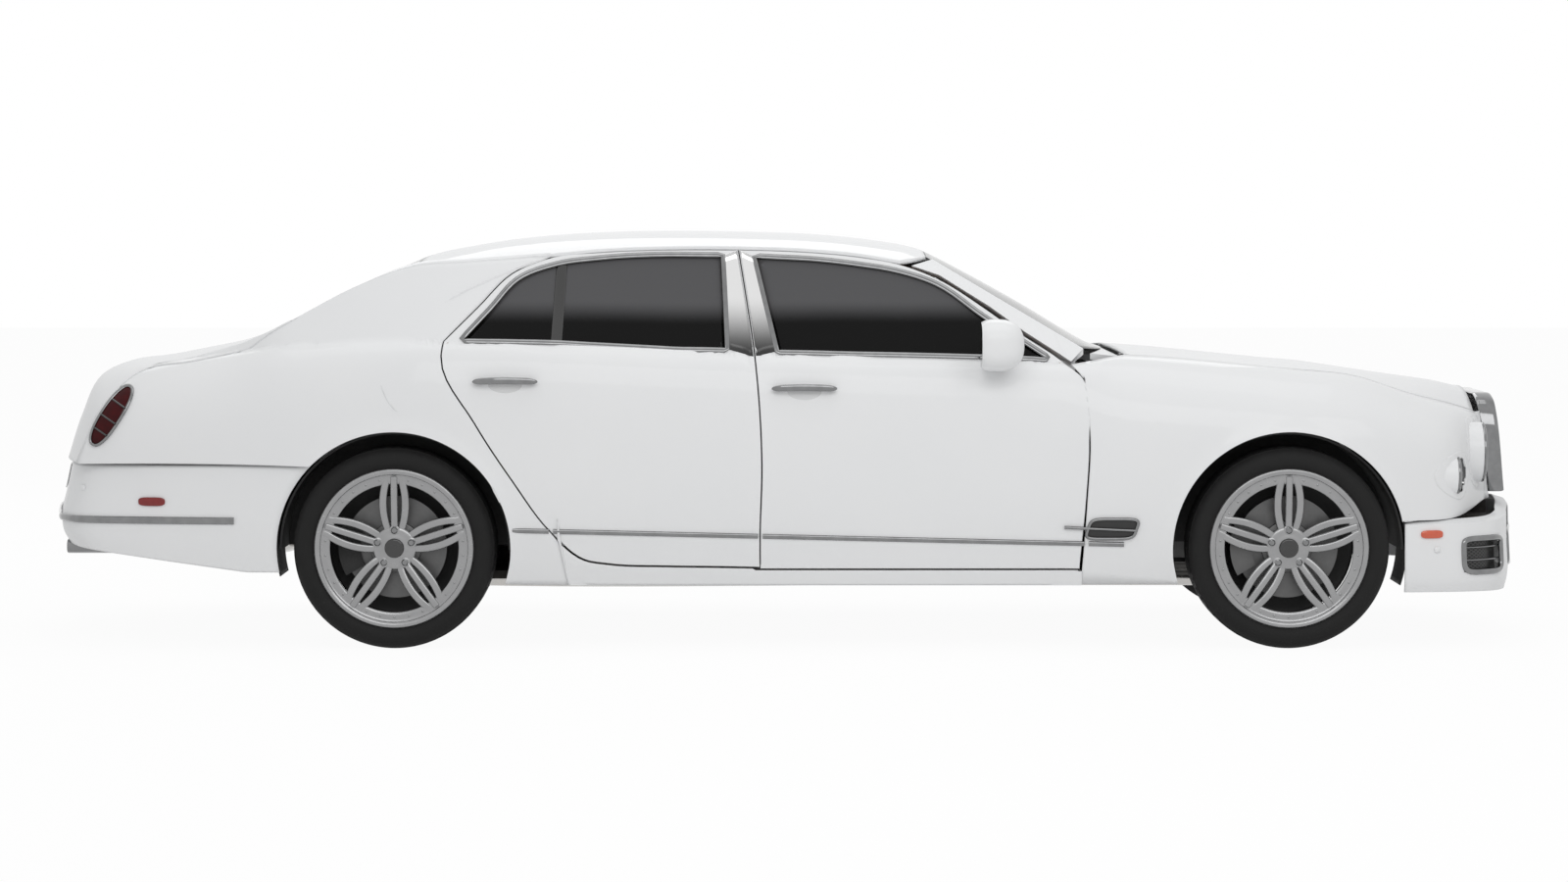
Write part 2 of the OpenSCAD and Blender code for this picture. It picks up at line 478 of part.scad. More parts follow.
// Pins of a lid on feet, way 1 for a foot that reaches forwards and -1 for one that reaches backwards
module lid_pins(axis, hinge_y, way) for (side = [-1, 1]) translate([axis[0], side * hinge_y, axis[1]]) {
    rotate([90, 0, 0]) cylinder(h = 2 * lid_hinge_w, d = pin_d, center = true, $fn = 48);
    translate([way > 0 ? -pin_d / 2 : -pin_d, -side * lid_hinge_w - leaf_t / 2, -lid_hinge_w])
        cube([pin_d * 3 / 2, leaf_t, lid_hinge_w]);
}
module hinge_leaves() color("dimgray") {
    for (m = [0, 1]) mirror([0, m, 0]) {
        post_leaf(front_axis);
        post_leaf(rear_axis);
    }
    lid_pins(bonnet_axis, bonnet_hinge_y, -1);
    lid_pins(boot_axis, boot_hinge_y, 1);
}

// Door furniture: chrome handle and hinge leaves
handle_l = 236;
handle_h = 22;
handle_out = 26;
front_handle_shares = [0.4445, 0.628];
rear_handle_shares = [0.125, 0.6445];
module handle(p) let (x = sx(p[0]) , z = hz(p[1]), y = side_y(x, z - handle_h / 2) + fixed_gap)
    translate([x, y + handle_out, z]) rotate([90, 0, 0]) linear_extrude(handle_out + fixed_gap)
        hull() for (e = [-1, 1]) translate([e * (handle_l - handle_h) / 2, 0]) circle(d = handle_h,
            $fn = 32);
module front_hardware() {
    handle(front_handle_shares);
    door_leaf(front_axis, front_door_shares);
}
module rear_hardware() {
    handle(rear_handle_shares);
    door_leaf(rear_axis, rear_door_shares);
}
module front_hardware_left() color("silver") front_hardware();
module front_hardware_right() color("silver") mirror([0, 1, 0]) front_hardware();
module rear_hardware_left() color("silver") rear_hardware();
module rear_hardware_right() color("silver") mirror([0, 1, 0]) rear_hardware();

// Door glass: a pane between the lower and the upper edge of the window
glass_sink = 12;
glass_clear = 0.8;
front_low = [15, 16, 17, 18, 19, 20, 21, 0, 1, 2];
front_high = [13, 12, 11, 10, 9, 8, 7, 6, 5, 4];
rear_low = [14, 16, 18, 20, 21, 1, 3, 4];
rear_high = [13, 12, 11, 10, 9, 8, 7, 6];
module door_glass(window_shares, low, high) {
    loop = inset(places(window_shares), glass_clear);
    rows = [for (v = [0, 0.33, 0.67, 1]) [for (i = [0 : len(low) - 1]) lin(loop[low[i]], loop[high[i]],
        v)]];
    slab([for (r = rows) skin(r, glass_sink)], [for (r = rows) skin(r, glass_sink + glass_t)]);
}
module front_glass_left() color("dimgray") door_glass(front_window_shares, front_low, front_high);
module front_glass_right() color("dimgray") mirror([0, 1, 0]) door_glass(front_window_shares, front_low,
    front_high);
module rear_glass_left() color("dimgray") door_glass(rear_window_shares, rear_low, rear_high);
module rear_glass_right() color("dimgray") mirror([0, 1, 0]) door_glass(rear_window_shares, rear_low,
    rear_high);

// Mirror: a rounded housing on an arm from the door's shoulder
mirror_shares = [0.67, 1.045, 0.732];
mirror_r = 52;
mirror_w = 105;
mirror_arm_d = 36;
module mirror_body() translate([sx(mirror_shares[0]), wy(mirror_shares[1]), hz(mirror_shares[2])]) {
    hull() {
        for (z = [-1, 1], y = [-1, 1]) translate([0, y * mirror_w / 2, z * mirror_r * 0.7])
            sphere(r = mirror_r, $fn = 20);
        translate([mirror_w / 2, 0, 0]) sphere(r = mirror_r, $fn = 20);
    }
    translate([0, -mirror_w / 2, -mirror_r]) rotate([90, 0, 0])
        cylinder(h = wy(mirror_shares[1]) - mirror_w / 2 - side_y(sx(mirror_shares[0]),
            hz(mirror_shares[2]) - mirror_r - mirror_arm_d / 2)
            - 4 * fixed_gap, d = mirror_arm_d, $fn = 32);
}
module mirror_left() color("white") mirror_body();
module mirror_right() color("white") mirror([0, 1, 0]) mirror_body();

// Cowl between the bonnet and the windscreen: widths and heights at its front and back
cowl_shares = [0.69, 0.8, 0.698, 0.708];
module cowl() color("dimgray") {
    x0 = bonnet_axis[0] - pin_d - fixed_gap;
    x1 = sx(screen_base_shares[0]) - 2 * fixed_gap;
    xs = sx(screen_base_shares[1]) + 7 * glass_t;
    rows = [for (t = [0, 0.5, 1]) [for (v = spread(9)) let (back = lin(x1, xs, v * v))
        [lin(x0, back, t), v * lin(wy(cowl_shares[0]), wy(cowl_shares[1]), t * v * v),
            lin(hz(cowl_shares[2]), hz(cowl_shares[3]), t)]]];
    slab(rows, moved(rows, [0, 0, -panel_t]), true);
}

// Wheel pieces stand about the Y axis with the outer face at +Y
tyre_r = tyre_d / 2;
lip_h = 10;
bead_r = rim_d / 2 - lip_h;
rim_set_in = 6;
rim_half_w = tyre_w / 2 - rim_set_in;
barrel_t = 12;
hub_r = 82;
spoke_end_share = 0.7;
spoke_end_r = bead_r - barrel_t * spoke_end_share;
stub_r = 30;
spoke_count = 5;
spoke_t = 30;
spoke_out = 92;
module tyre() rotate([-90, 0, 0]) rotate_extrude($fn = 96) let (w = tyre_w / 2, r = tyre_r, b = bead_r)
    polygon([[b, -w * 0.78], [b + (r - b) * 0.35, -w], [b + (r - b) * 0.7, -w * 0.97], [r * 0.98,
        -w * 0.82],
        [r, -w * 0.6], [r, w * 0.6], [r * 0.98, w * 0.82], [b + (r - b) * 0.7, w * 0.97], [b + (r - b)
            * 0.35, w],
        [b, w * 0.78]]);
module spoke_outline() difference() {
    polygon([[hub_r * 0.7, -hub_r * 0.62], [spoke_end_r, -bead_r * 0.22], [spoke_end_r, bead_r * 0.22],
        [hub_r * 0.7, hub_r * 0.62]]);
    for (m = [-1, 1]) polygon([[hub_r * 1.15, m * hub_r * 0.12], [bead_r * 0.82, m * bead_r * 0.055],
        [bead_r * 0.82, m * bead_r * 0.135], [hub_r * 1.15, m * hub_r * 0.34]]);
}
disc_t = 34;
module rim() {
    rotate([-90, 0, 0]) {
        difference() {
            union() {
                rotate_extrude($fn = 96) polygon([[bead_r - fixed_gap, -rim_half_w * 0.81],
                    [bead_r - fixed_gap, rim_half_w * 0.82],
                    [rim_d / 2, rim_half_w * 0.91], [rim_d / 2, rim_half_w], [bead_r - barrel_t,
                        rim_half_w * 0.93],
                    [bead_r - barrel_t, -rim_half_w * 0.81]]);
                translate([0, 0, spoke_out - spoke_t]) linear_extrude(spoke_t)
                    for (i = [0 : spoke_count - 1])
                    rotate(i * 360 / spoke_count - 90) spoke_outline();
                translate([0, 0, disc_t]) cylinder(h = spoke_out - disc_t, r = hub_r, $fn = 64);
            }
            cylinder(h = spoke_out - spoke_t / 2, r = stub_r + pin_clear, $fn = 48);
        }
        translate([0, 0, -disc_t / 3]) difference() {
            cylinder(h = disc_t * 4 / 3 - fixed_gap, d = disc_d / 2, $fn = 64);
            translate([0, 0, -disc_t]) cylinder(h = disc_t * 3, r = stub_r + pin_clear, $fn = 48);
        }
        translate([0, 0, -disc_t / 3]) difference() {
            cylinder(h = disc_t, d = disc_d, $fn = 96);
            translate([0, 0, -disc_t]) cylinder(h = disc_t * 3, d = disc_d / 2 + 2 * fixed_gap, $fn = 64);
        }
    }
}
module at_wheel(x, side) translate([x, side * track / 2, axle_z]) mirror([0, side < 0 ? 1 : 0, 0])
    children();
module tyre_front_left() color("black") at_wheel(front_x, 1) tyre();
module tyre_front_right() color("black") at_wheel(front_x, -1) tyre();
module tyre_rear_left() color("black") at_wheel(rear_x, 1) tyre();
module tyre_rear_right() color("black") at_wheel(rear_x, -1) tyre();
module rim_front_left() color("silver") at_wheel(front_x, 1) rim();
module rim_front_right() color("silver") at_wheel(front_x, -1) rim();
module rim_rear_left() color("silver") at_wheel(rear_x, 1) rim();
module rim_rear_right() color("silver") at_wheel(rear_x, -1) rim();

// Hub carrier: upright, stub axle and caliper, about the wheel's own middle
king_in = 40;
king_d = 24;
upright_w = 60;
upright_h = 220;
upright_in = 75;
upright_out = 22;
caliper_clear = 4;
stub_l = spoke_out - spoke_t;
module carrier() {
    translate([-upright_w / 2, -upright_in, -upright_h / 2]) cube([upright_w, upright_in - upright_out,
        upright_h]);
    rotate([90, 0, 0]) translate([0, 0, -stub_l]) cylinder(h = stub_l + upright_out, r = stub_r, $fn = 48);
    rotate([-90, 0, 0]) rotate([0, 0, 150]) rotate_extrude(angle = 60, $fn = 96) let (r = disc_d / 2,
        c = caliper_clear, a = disc_t / 3)
        polygon([[r * 0.7, -a - 3 * c], [r * 0.7, -a - c], [r + c, -a - c], [r + c, disc_t - a + c],
            [r * 0.7, disc_t - a + c],
            [r * 0.7, disc_t - a + 4 * c], [r * 1.12, disc_t - a + 4 * c], [r * 1.12, -a - 3 * c]]);
    translate([-disc_d * 0.42, -upright_in, -upright_w / 2]) cube([disc_d * 0.42,
        upright_in - disc_t / 3 - 3 * caliper_clear + fixed_gap, upright_w]);
}
module knuckle() {
    carrier();
    for (z = [-1, 1]) translate([0, -king_in, z * upright_h / 2 + (z < 0 ? -upright_w : 0)])
        cylinder(h = upright_w, d = king_d, $fn = 48);
}
module knuckle_left() color("gray") at_wheel(front_x, 1) knuckle();
module knuckle_right() color("gray") at_wheel(front_x, -1) knuckle();

// Front subframe: a cross beam, with two arms a side whose eyes hold the knuckles
arm_t = 36;
arm_w = 50;
beam_share = 0.46;
beam_w = wy(beam_share);
beam_h = 90;
beam_z = axle_z - upright_h / 2 - upright_w;
module arm(z) translate([0, 0, z]) difference() {
    union() {
        cylinder(h = arm_t, d = arm_w, $fn = 48);
        translate([-arm_w / 2, beam_w - track / 2 + king_in, 0]) cube([arm_w,
            track / 2 - king_in - beam_w, arm_t]);
    }
    translate([0, 0, -arm_t]) cylinder(h = 3 * arm_t, d = king_d + 2 * pin_clear, $fn = 48);
}
module front_subframe() color("dimgray") {
    translate([front_x - beam_h, -beam_w, beam_z]) cube([2 * beam_h, 2 * beam_w, beam_h]);
    for (side = [-1, 1]) {
        translate([front_x - arm_w, side * (beam_w - beam_h / 2) - beam_h / 2, beam_z + beam_h - fixed_gap])
            cube([2 * arm_w, beam_h, upright_h + 2 * upright_w - beam_h]);
        translate([front_x, side * (track / 2 - king_in), axle_z]) mirror([0, side < 0 ? 1 : 0, 0]) {
            arm(upright_h / 2 + fixed_gap);
            arm(-upright_h / 2 - arm_t - fixed_gap);
        }
    }
}
// Rear subframe: cross beam with fixed hub carriers, half shafts and final drive
final_drive_l = 330;
final_drive_d = 230;
shaft_d = 44;
module rear_subframe() color("dimgray") {
    for (side = [-1, 1]) {
        at_wheel(rear_x, side) carrier();
        translate([rear_x, side * (track / 2 - upright_in + fixed_gap), axle_z])
            rotate([side > 0 ? 90 : -90, 0, 0])
            cylinder(h = track / 2 - upright_in + fixed_gap, d = shaft_d, $fn = 48);
    }
    translate([rear_x - final_drive_l / 2, 0, axle_z]) rotate([0, 90, 0]) cylinder(h = final_drive_l,
        d = final_drive_d, $fn = 64);
    translate([rear_x - final_drive_l / 4, -shaft_d, axle_z]) cube([final_drive_l / 2, 2 * shaft_d,
        boot_floor_z - axle_z - fixed_gap]);
    for (x = [-1, 1]) translate([rear_x + x * final_drive_l / 2 - shaft_d, -track / 2 + upright_in,
        axle_z - shaft_d / 2])
        cube([2 * shaft_d, track - 2 * upright_in, shaft_d]);
    for (side = [-1, 1]) translate([rear_x - final_drive_l / 2 - shaft_d,
        side * (track / 2 - upright_in - shaft_d) - shaft_d, axle_z - shaft_d / 2])
        cube([final_drive_l + 2 * shaft_d, 2 * shaft_d, shaft_d]);
}
// Engine, as one block over the front beam
engine_l = 760;
engine_w = 640;
engine_h = 600;
engine_back_share = 0.845;
module engine_block() color("gray") translate([sx(engine_back_share), -engine_w / 2,
    beam_z + beam_h + fixed_gap])
    cube([engine_l, engine_w, engine_h]);

// Grille: an upright shell with a lattice of slim bars
grille_w = 700;
grille_z0 = 540;
grille_h = 372;
grille_depth = 70;
grille_wall = 26;
grille_lean = 6;
grille_bar = 5;
grille_pitch = 38;
grille_back = 68;
grille_x = front_x + front_overhang - grille_back;
module grille() color("silver") translate([grille_x, 0, grille_z0]) rotate([0, -grille_lean, 0])
    rotate([90, 0, 90])
    translate([0, 0, -grille_depth]) {
        linear_extrude(grille_depth) difference() {
            grille_outline(0);
            grille_outline(grille_wall);
        }
        translate([0, 0, grille_depth / 4]) linear_extrude(grille_depth / 4) {
            for (y = [-grille_w / 2 + grille_pitch : grille_pitch : grille_w / 2 - grille_pitch])
                translate([y - grille_bar / 2, grille_wall / 2]) square([grille_bar,
                    grille_h - grille_wall]);
            for (z = [grille_pitch : grille_pitch : grille_h - grille_pitch])
                translate([-grille_w / 2 + grille_wall / 2, z - grille_bar / 2])
                    square([grille_w - grille_wall, grille_bar]);
        }
    }
module grille_outline(d) polygon([[-grille_w / 2 + d, d], [grille_w / 2 - d, d], [grille_w / 2 - d,
    grille_h * 0.86 - d],
    [grille_w * 0.4 - d / 2, grille_h - d], [-grille_w * 0.4 + d / 2, grille_h - d], [-grille_w / 2 + d,
        grille_h * 0.86 - d]]);

// Lamps
inner_lamp_d = 222;
outer_lamp_d = 136;
inner_lamp_shares = [1.8, 0.571, 0.4615];
outer_lamp_shares = [1.67, 0.81, 0.4135];
lamp_l = 150;
lamp_dome = 18;
module lamp_at(p) translate([sx(p[0]), wy(p[1]), hz(p[2])]) rotate([0, 90, 0]) children();
module lamp(d) {
    translate([0, 0, -lamp_l]) cylinder(h = lamp_l, d = d, $fn = 64);
    intersection() {
        cylinder(h = lamp_dome, d = d, $fn = 64);
        let (r = (d * d / 4 + lamp_dome * lamp_dome) / (2 * lamp_dome)) translate([0, 0, lamp_dome - r])
            sphere(r = r, $fn = 96);
    }
}
module headlamps() color("lightgray") for (m = [0, 1]) mirror([0, m, 0]) {
    lamp_at(inner_lamp_shares) lamp(inner_lamp_d);
    lamp_at(outer_lamp_shares) lamp(outer_lamp_d);
}
// Tail lamp: a slanted oval patch laid on the quarter
tail_shares = [-0.754, 0.56];
tail_l = 118;
tail_half_w = 42;
tail_slant = [-0.46, -0.888];
tail_out = 14;
function tail_point(t, v, out) = let (w = tail_half_w * sqrt(1 - t * t), x = sx(tail_shares[0])
    + t * tail_l * tail_slant[0] - v * w * tail_slant[1],
    z = hz(tail_shares[1]) + t * tail_l * tail_slant[1] + v * w * tail_slant[0]) [x, side_y(x, z) + out, z];
module tail_lamps() color("darkred") for (m = [0, 1]) mirror([0, m, 0]) let (ts = [for (i = [-6 : 6])
    sin(i * 13.8)], vs = spread(5))
    slab([for (t = ts) [for (v = vs) tail_point(t, v, tail_out * (1 - 0.5 * v * v))]],
        [for (t = ts) [for (v = vs) tail_point(t, v, 2 * fixed_gap)]]);

// Wing vent: a leaning frame with two slots behind the front wheel
vent_l = 170;
vent_h = 70;
vent_lean = 22;
vent_t = 6;
vent_wall = 9;
vent_shares = [0.802, 0.291];
function leaning(x0, x1, z0, z1) = [[x0 + z0 * vent_lean / vent_h, z0], [x1 + z0 * vent_lean / vent_h, z0],
    [x1 + z1 * vent_lean / vent_h, z1], [x0 + z1 * vent_lean / vent_h, z1]];
module wing_vents() color("silver") for (m = [0, 1]) mirror([0, m, 0]) let (x = sx(vent_shares[0]),
    z = hz(vent_shares[1]))
    translate([x - vent_l / 2, side_y(x, z + vent_h / 2) + vent_t + fixed_gap, z - vent_h / 2])
        rotate([90, 0, 0]) linear_extrude(vent_t) difference() {
        polygon(leaning(0, vent_l, 0, vent_h));
        polygon(leaning(vent_wall, vent_l - vent_wall, vent_wall, vent_h / 2 - vent_wall / 2));
        polygon(leaning(vent_wall, vent_l - vent_wall, vent_h / 2 + vent_wall / 2, vent_h - vent_wall));
    }

// Floor with the bulkheads, wheel houses
floor_w = sill_in_y - fixed_gap;
bulkhead_share = 0.8;
rear_bulkhead_share = 0.045;
kick_share = 0.085;
house_t = 8;
house_shares = [0.49, 0.64];
front_house_y = wy(house_shares[0]);
rear_house_y = wy(house_shares[1]);
boot_floor_share = -0.86;
floor_rear_share = 0.185;
floor_lap_share = 0.2;
bulkhead_shares = [0.7, 0.66];
rear_bulkhead_top_share = 0.7;
grille_foot_share = 0.3;
rear_floor_w = rear_house_y - house_t - fixed_gap;
boot_floor_up = 140;
boot_floor_z = axle_z + boot_floor_up;
floor_z = sill_z + floor_t;
rail_t = front_house_y - house_t - beam_w - 2 * fixed_gap;
rail_z = axle_z;
rail_h = 90;
rail_x = grille_x - grille_depth + shut_gap;
grille_foot_z = grille_z0 - grille_depth * sin(grille_lean) - fixed_gap;
module floor_pan() color("dimgray") {
    translate([0, 0, sill_z]) linear_extrude(floor_t) {
        square_between(sx(floor_rear_share), sx(bulkhead_share), floor_w);
        square_between(sx(kick_share), sx(floor_lap_share), rear_floor_w);
    }
    translate([0, 0, boot_floor_z]) linear_extrude(floor_t)
        square_between(sx(boot_floor_share), sx(kick_share) + floor_t, rear_floor_w);
    for (side = [-1, 1])
        translate([sx(bulkhead_share) - floor_t, side * (beam_w + fixed_gap + rail_t / 2) - rail_t / 2,
            rail_z])
            cube([rail_x - sx(bulkhead_share) + floor_t, rail_t, rail_h]);
    translate([rail_x - rail_h, -beam_w - fixed_gap - rail_t, rail_z])
        cube([rail_h, 2 * (beam_w + fixed_gap + rail_t), rail_h]);
    translate([rail_x - rail_h, -wy(grille_foot_share), rail_z])
        cube([rail_h, 2 * wy(grille_foot_share), grille_foot_z - rail_z]);
    bulkhead(sx(bulkhead_share) - floor_t, wy(bulkhead_shares[0]), sill_z, hz(bulkhead_shares[1]));
    bulkhead(sx(kick_share), rear_floor_w, sill_z, boot_floor_z + floor_t);
    bulkhead(sx(rear_bulkhead_share), rear_floor_w, boot_floor_z, hz(rear_bulkhead_top_share));
}
module square_between(x0, x1, w) translate([x0, -w]) square([x1 - x0, 2 * w]);
module bulkhead(x, w, z0, z1) translate([x, -w, z0]) cube([floor_t, 2 * w, z1 - z0]);
house_clear = 4;
house_out_share = 0.9;
house_r = arch_r - house_clear;
module house(x, y0, y1, open_w) translate([x, 0, axle_z]) for (m = [0, 1]) mirror([0, m, 0]) rotate([90,
    0, 0]) {
    translate([0, 0, -y1]) linear_extrude(y1 - y0) difference() {
        circle(r = house_r, $fn = 96);
        circle(r = house_r - house_t, $fn = 96);
        translate([-arch_d, -arch_d - house_t]) square([2 * arch_d, arch_d]);
    }
    translate([0, 0, -y0]) linear_extrude(house_t) difference() {
        circle(r = house_r, $fn = 96);
        translate([-arch_d, -arch_d - house_t]) square([2 * arch_d, arch_d]);
        square([open_w, upright_h + 3 * upright_w], center = true);
    }
}
module wheelhouses() color("black") {
    house(front_x, front_house_y, wy(house_out_share), 4 * arm_w);
    house(rear_x, rear_house_y, wy(house_out_share), final_drive_l + 4 * shaft_d);
}
// Exhaust: two pipes, a silencer and oval tips
pipe_d = 60;
pipe_y = 190;
pipe_z = sill_z - pipe_d / 2 - fixed_gap;
silencer_l = 420;
silencer_w = 760;
silencer_h = 150;
tip_w = 120;
tip_h = 56;
tip_y = 600;
tip_shares = [-0.955, -0.82];
silencer_share = -0.6;
pipe_front_share = 0.93;
tip_height_share = 0.234;
module exhaust() color("silver") {
    for (m = [-1, 1]) translate([sx(silencer_share) + silencer_l - fixed_gap, m * pipe_y, pipe_z])
        rotate([0, 90, 0])
        cylinder(h = sx(pipe_front_share) - sx(silencer_share) - silencer_l, d = pipe_d, $fn = 32);
    translate([sx(silencer_share), -silencer_w / 2, pipe_z - pipe_d / 2]) cube([silencer_l, silencer_w,
        silencer_h / 2]);
    for (m = [-1, 1]) at_tip(m) linear_extrude(sx(tip_shares[1]) - sx(tip_shares[0])) difference() {
        tip_outline(0);
        tip_outline(tip_wall);
    }
}
tip_wall = 3;
module at_tip(m) translate([sx(tip_shares[0]), m * tip_y, hz(tip_height_share)]) rotate([90, 0, 90])
    children();
module tip_outline(d) hull() for (e = [-1, 1]) translate([e * (tip_w - tip_h) / 2, 0])
    circle(d = tip_h - 2 * d, $fn = 32);

// Cabin
seat_w = 520;
seat_y = 380;
cushion_h = 190;
back_t = 150;
module profile_y(w) rotate([90, 0, 0]) linear_extrude(w, center = true) offset(r = back_t / 4, $fn = 24)
    offset(delta = -back_t / 4) children();
module seat(x, w) {
    translate([x, 0, floor_z + cushion_h]) profile_y(w) square([seat_w, cushion_h * 0.8]);
    translate([x - fixed_gap, 0, floor_z + cushion_h]) profile_y(w) polygon([[0, 0], [-back_t, 0],
        [-back_t * 2.6, seat_w * 1.25],
        [-back_t * 1.8, seat_w * 1.3], [0, cushion_h]]);
    translate([x + seat_w / 4, -w / 4, floor_z]) cube([seat_w / 2, w / 2, cushion_h - fixed_gap]);
}
front_seat_share = 0.5;
rear_seat_share = 0.175;
module front_seats() color("saddlebrown") for (m = [-1, 1]) translate([0, m * seat_y, 0])
    seat(sx(front_seat_share), seat_w);
module rear_seat() color("saddlebrown") seat(sx(rear_seat_share), 2 * rear_house_y - 2 * back_t / 3);
dash_shares = [0.66, 0.72];
dash_z = hz(dash_shares[0]);
dash_back_share = 0.69;
column_y = seat_y;
column_tilt = 24;
column_d = 40;
wheel_ring_d = 380;
wheel_ring_t = 30;
column_shares = [0.715, 0.585];
column_foot = place(column_shares);
module dashboard() color("black") difference() {
    translate([sx(dash_back_share), -wy(dash_shares[1]), dash_z - 2 * cushion_h])
        cube([sx(bulkhead_share) - sx(dash_back_share) - floor_t - fixed_gap, 2 * wy(dash_shares[1]),
            2 * cushion_h]);
    at_column() translate([0, 0, -wheel_ring_d]) cylinder(h = 2 * wheel_ring_d,
        d = column_d + 2 * pin_clear, $fn = 48);
}
module at_column() translate([column_foot[0], column_y, column_foot[1]]) rotate([0, -90 + column_tilt,
    0]) children();
column_l = 330;
module steering_wheel() color("black") at_column() {
    cylinder(h = column_l, d = column_d, $fn = 48);
    translate([0, 0, column_l]) {
        rotate_extrude($fn = 64) translate([wheel_ring_d / 2 - wheel_ring_t / 2, 0])
            circle(d = wheel_ring_t, $fn = 24);
        translate([0, 0, -wheel_ring_t / 4]) linear_extrude(wheel_ring_t / 2) {
            square([wheel_ring_t * 1.6, wheel_ring_d - wheel_ring_t], center = true);
            circle(d = wheel_ring_d * 0.36, $fn = 48);
        }
    }
}

floor_pan();
side_frame_left();
side_frame_right();
roof();
cowl();
windscreen();
rear_window();
quarter_left();
quarter_right();
wing_left();
wing_right();
front_bumper();
rear_bumper();
grille();
headlamps();
tail_lamps();
wing_vents();
wheelhouses();
engine_block();
front_subframe();
rear_subframe();
exhaust();
dashboard();
front_seats();
rear_seat();
hinge_leaves();
steering_wheel();
bonnet();
boot_lid();
front_door_left();
front_door_right();
rear_door_left();
rear_door_right();
front_glass_left();
front_glass_right();
rear_glass_left();
rear_glass_right();
front_hardware_left();
front_hardware_right();
rear_hardware_left();
rear_hardware_right();
mirror_left();
mirror_right();
knuckle_left();
knuckle_right();
tyre_front_left();
tyre_front_right();
tyre_rear_left();
tyre_rear_right();
rim_front_left();
rim_front_right();
rim_rear_left();
rim_rear_right();
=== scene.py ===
"""Looks of a luxury sedan: panels, glass, chrome, lamps, wheels and leather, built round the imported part."""

import math

import bpy
import numpy as np
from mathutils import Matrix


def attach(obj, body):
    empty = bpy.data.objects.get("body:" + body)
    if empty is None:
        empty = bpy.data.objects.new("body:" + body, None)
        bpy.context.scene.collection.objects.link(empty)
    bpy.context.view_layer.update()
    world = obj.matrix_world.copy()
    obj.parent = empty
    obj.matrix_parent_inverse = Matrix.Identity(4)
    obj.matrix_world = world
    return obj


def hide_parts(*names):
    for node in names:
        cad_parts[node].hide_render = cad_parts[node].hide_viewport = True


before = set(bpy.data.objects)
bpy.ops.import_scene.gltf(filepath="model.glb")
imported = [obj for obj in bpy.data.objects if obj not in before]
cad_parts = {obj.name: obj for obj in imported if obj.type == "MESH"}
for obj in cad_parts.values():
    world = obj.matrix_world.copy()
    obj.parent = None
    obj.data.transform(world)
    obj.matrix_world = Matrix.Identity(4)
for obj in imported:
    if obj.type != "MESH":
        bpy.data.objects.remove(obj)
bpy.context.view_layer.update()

# Sizes of the body, in metres
WHEELBASE = 3.270
NOSE = 0.942
TAIL = 1.363
HALF_W = 0.963
HEIGHT = 1.521
TRACK = 1.620
REAR_X = TAIL - (TAIL + WHEELBASE + NOSE) / 2
FRONT_X = REAR_X + WHEELBASE
AXLE_Z = 0.369
ARCH_R = 0.427
SILL_Z = 0.233
GAP = 0.005


# Body lines: stations, heights and widths as shares, read through cubic curves
def sx(s):
    """Place along the body of a station: -1 tail, 0 rear axle, 1 front axle, 2 nose."""
    s = np.asarray(s, float)
    ahead = FRONT_X + (s - 1) * NOSE
    return np.where(s < 0, REAR_X + s * TAIL, np.where(s < 1, REAR_X + s * WHEELBASE, ahead))


def place(table):
    """Stations and height shares turned into places in side view."""
    t = np.asarray(table, float)
    return np.stack([sx(t[:, 0]), t[:, 1] * HEIGHT], axis=-1)


def cubic(table, x):
    """Values of a table's later columns at x: a cubic through its points, with mean slopes at each."""
    t = np.asarray(table, float)
    k, v = t[:, 0], t[:, 1:]
    up = np.minimum(np.arange(len(k)) + 1, len(k) - 1)
    low = np.maximum(np.arange(len(k)) - 1, 0)
    slope = (v[up] - v[low]) / (k[up] - k[low])[:, None]
    x = np.asarray(x, float)
    i = np.clip(np.searchsorted(k, x, side="right") - 1, 0, len(k) - 2)
    h = (k[i + 1] - k[i])[..., None]
    u = np.clip((x - k[i])[..., None] / h, 0, 1)
    p, q = slope[i] * h, slope[i + 1] * h
    a, b = v[i], v[i + 1]
    return a + u * (p + u * (3 * (b - a) - 2 * p - q + u * (2 * (a - b) + p + q)))


PLAN = [[-1, 0.62], [-0.95, 0.75], [-0.85, 0.86], [-0.65, 0.925], [-0.35, 0.968], [0, 0.988],
        [0.2, 0.998], [0.45, 1], [0.75, 0.998], [1, 0.985], [1.28, 0.965], [1.5, 0.925],
        [1.66, 0.84], [1.75, 0.66], [1.84, 0.42], [1.9, 0.3]]
EDGE = [[-1, 0.45, 0.6], [-0.95, 0.5, 0.62], [-0.86, 0.62, 0.64], [-0.7, 0.668, 0.66],
        [-0.47, 0.705, 0.7], [-0.3, 0.725, 0.8], [0.058, 0.734, 0.885], [0.396, 0.707, 0.895],
        [0.7475, 0.686, 0.885], [0.78, 0.692, 0.83], [0.82, 0.704, 0.7], [1.04, 0.668, 0.66],
        [1.28, 0.652, 0.645], [1.505, 0.6075, 0.6], [1.696, 0.5765, 0.46], [1.84, 0.55, 0.36]]
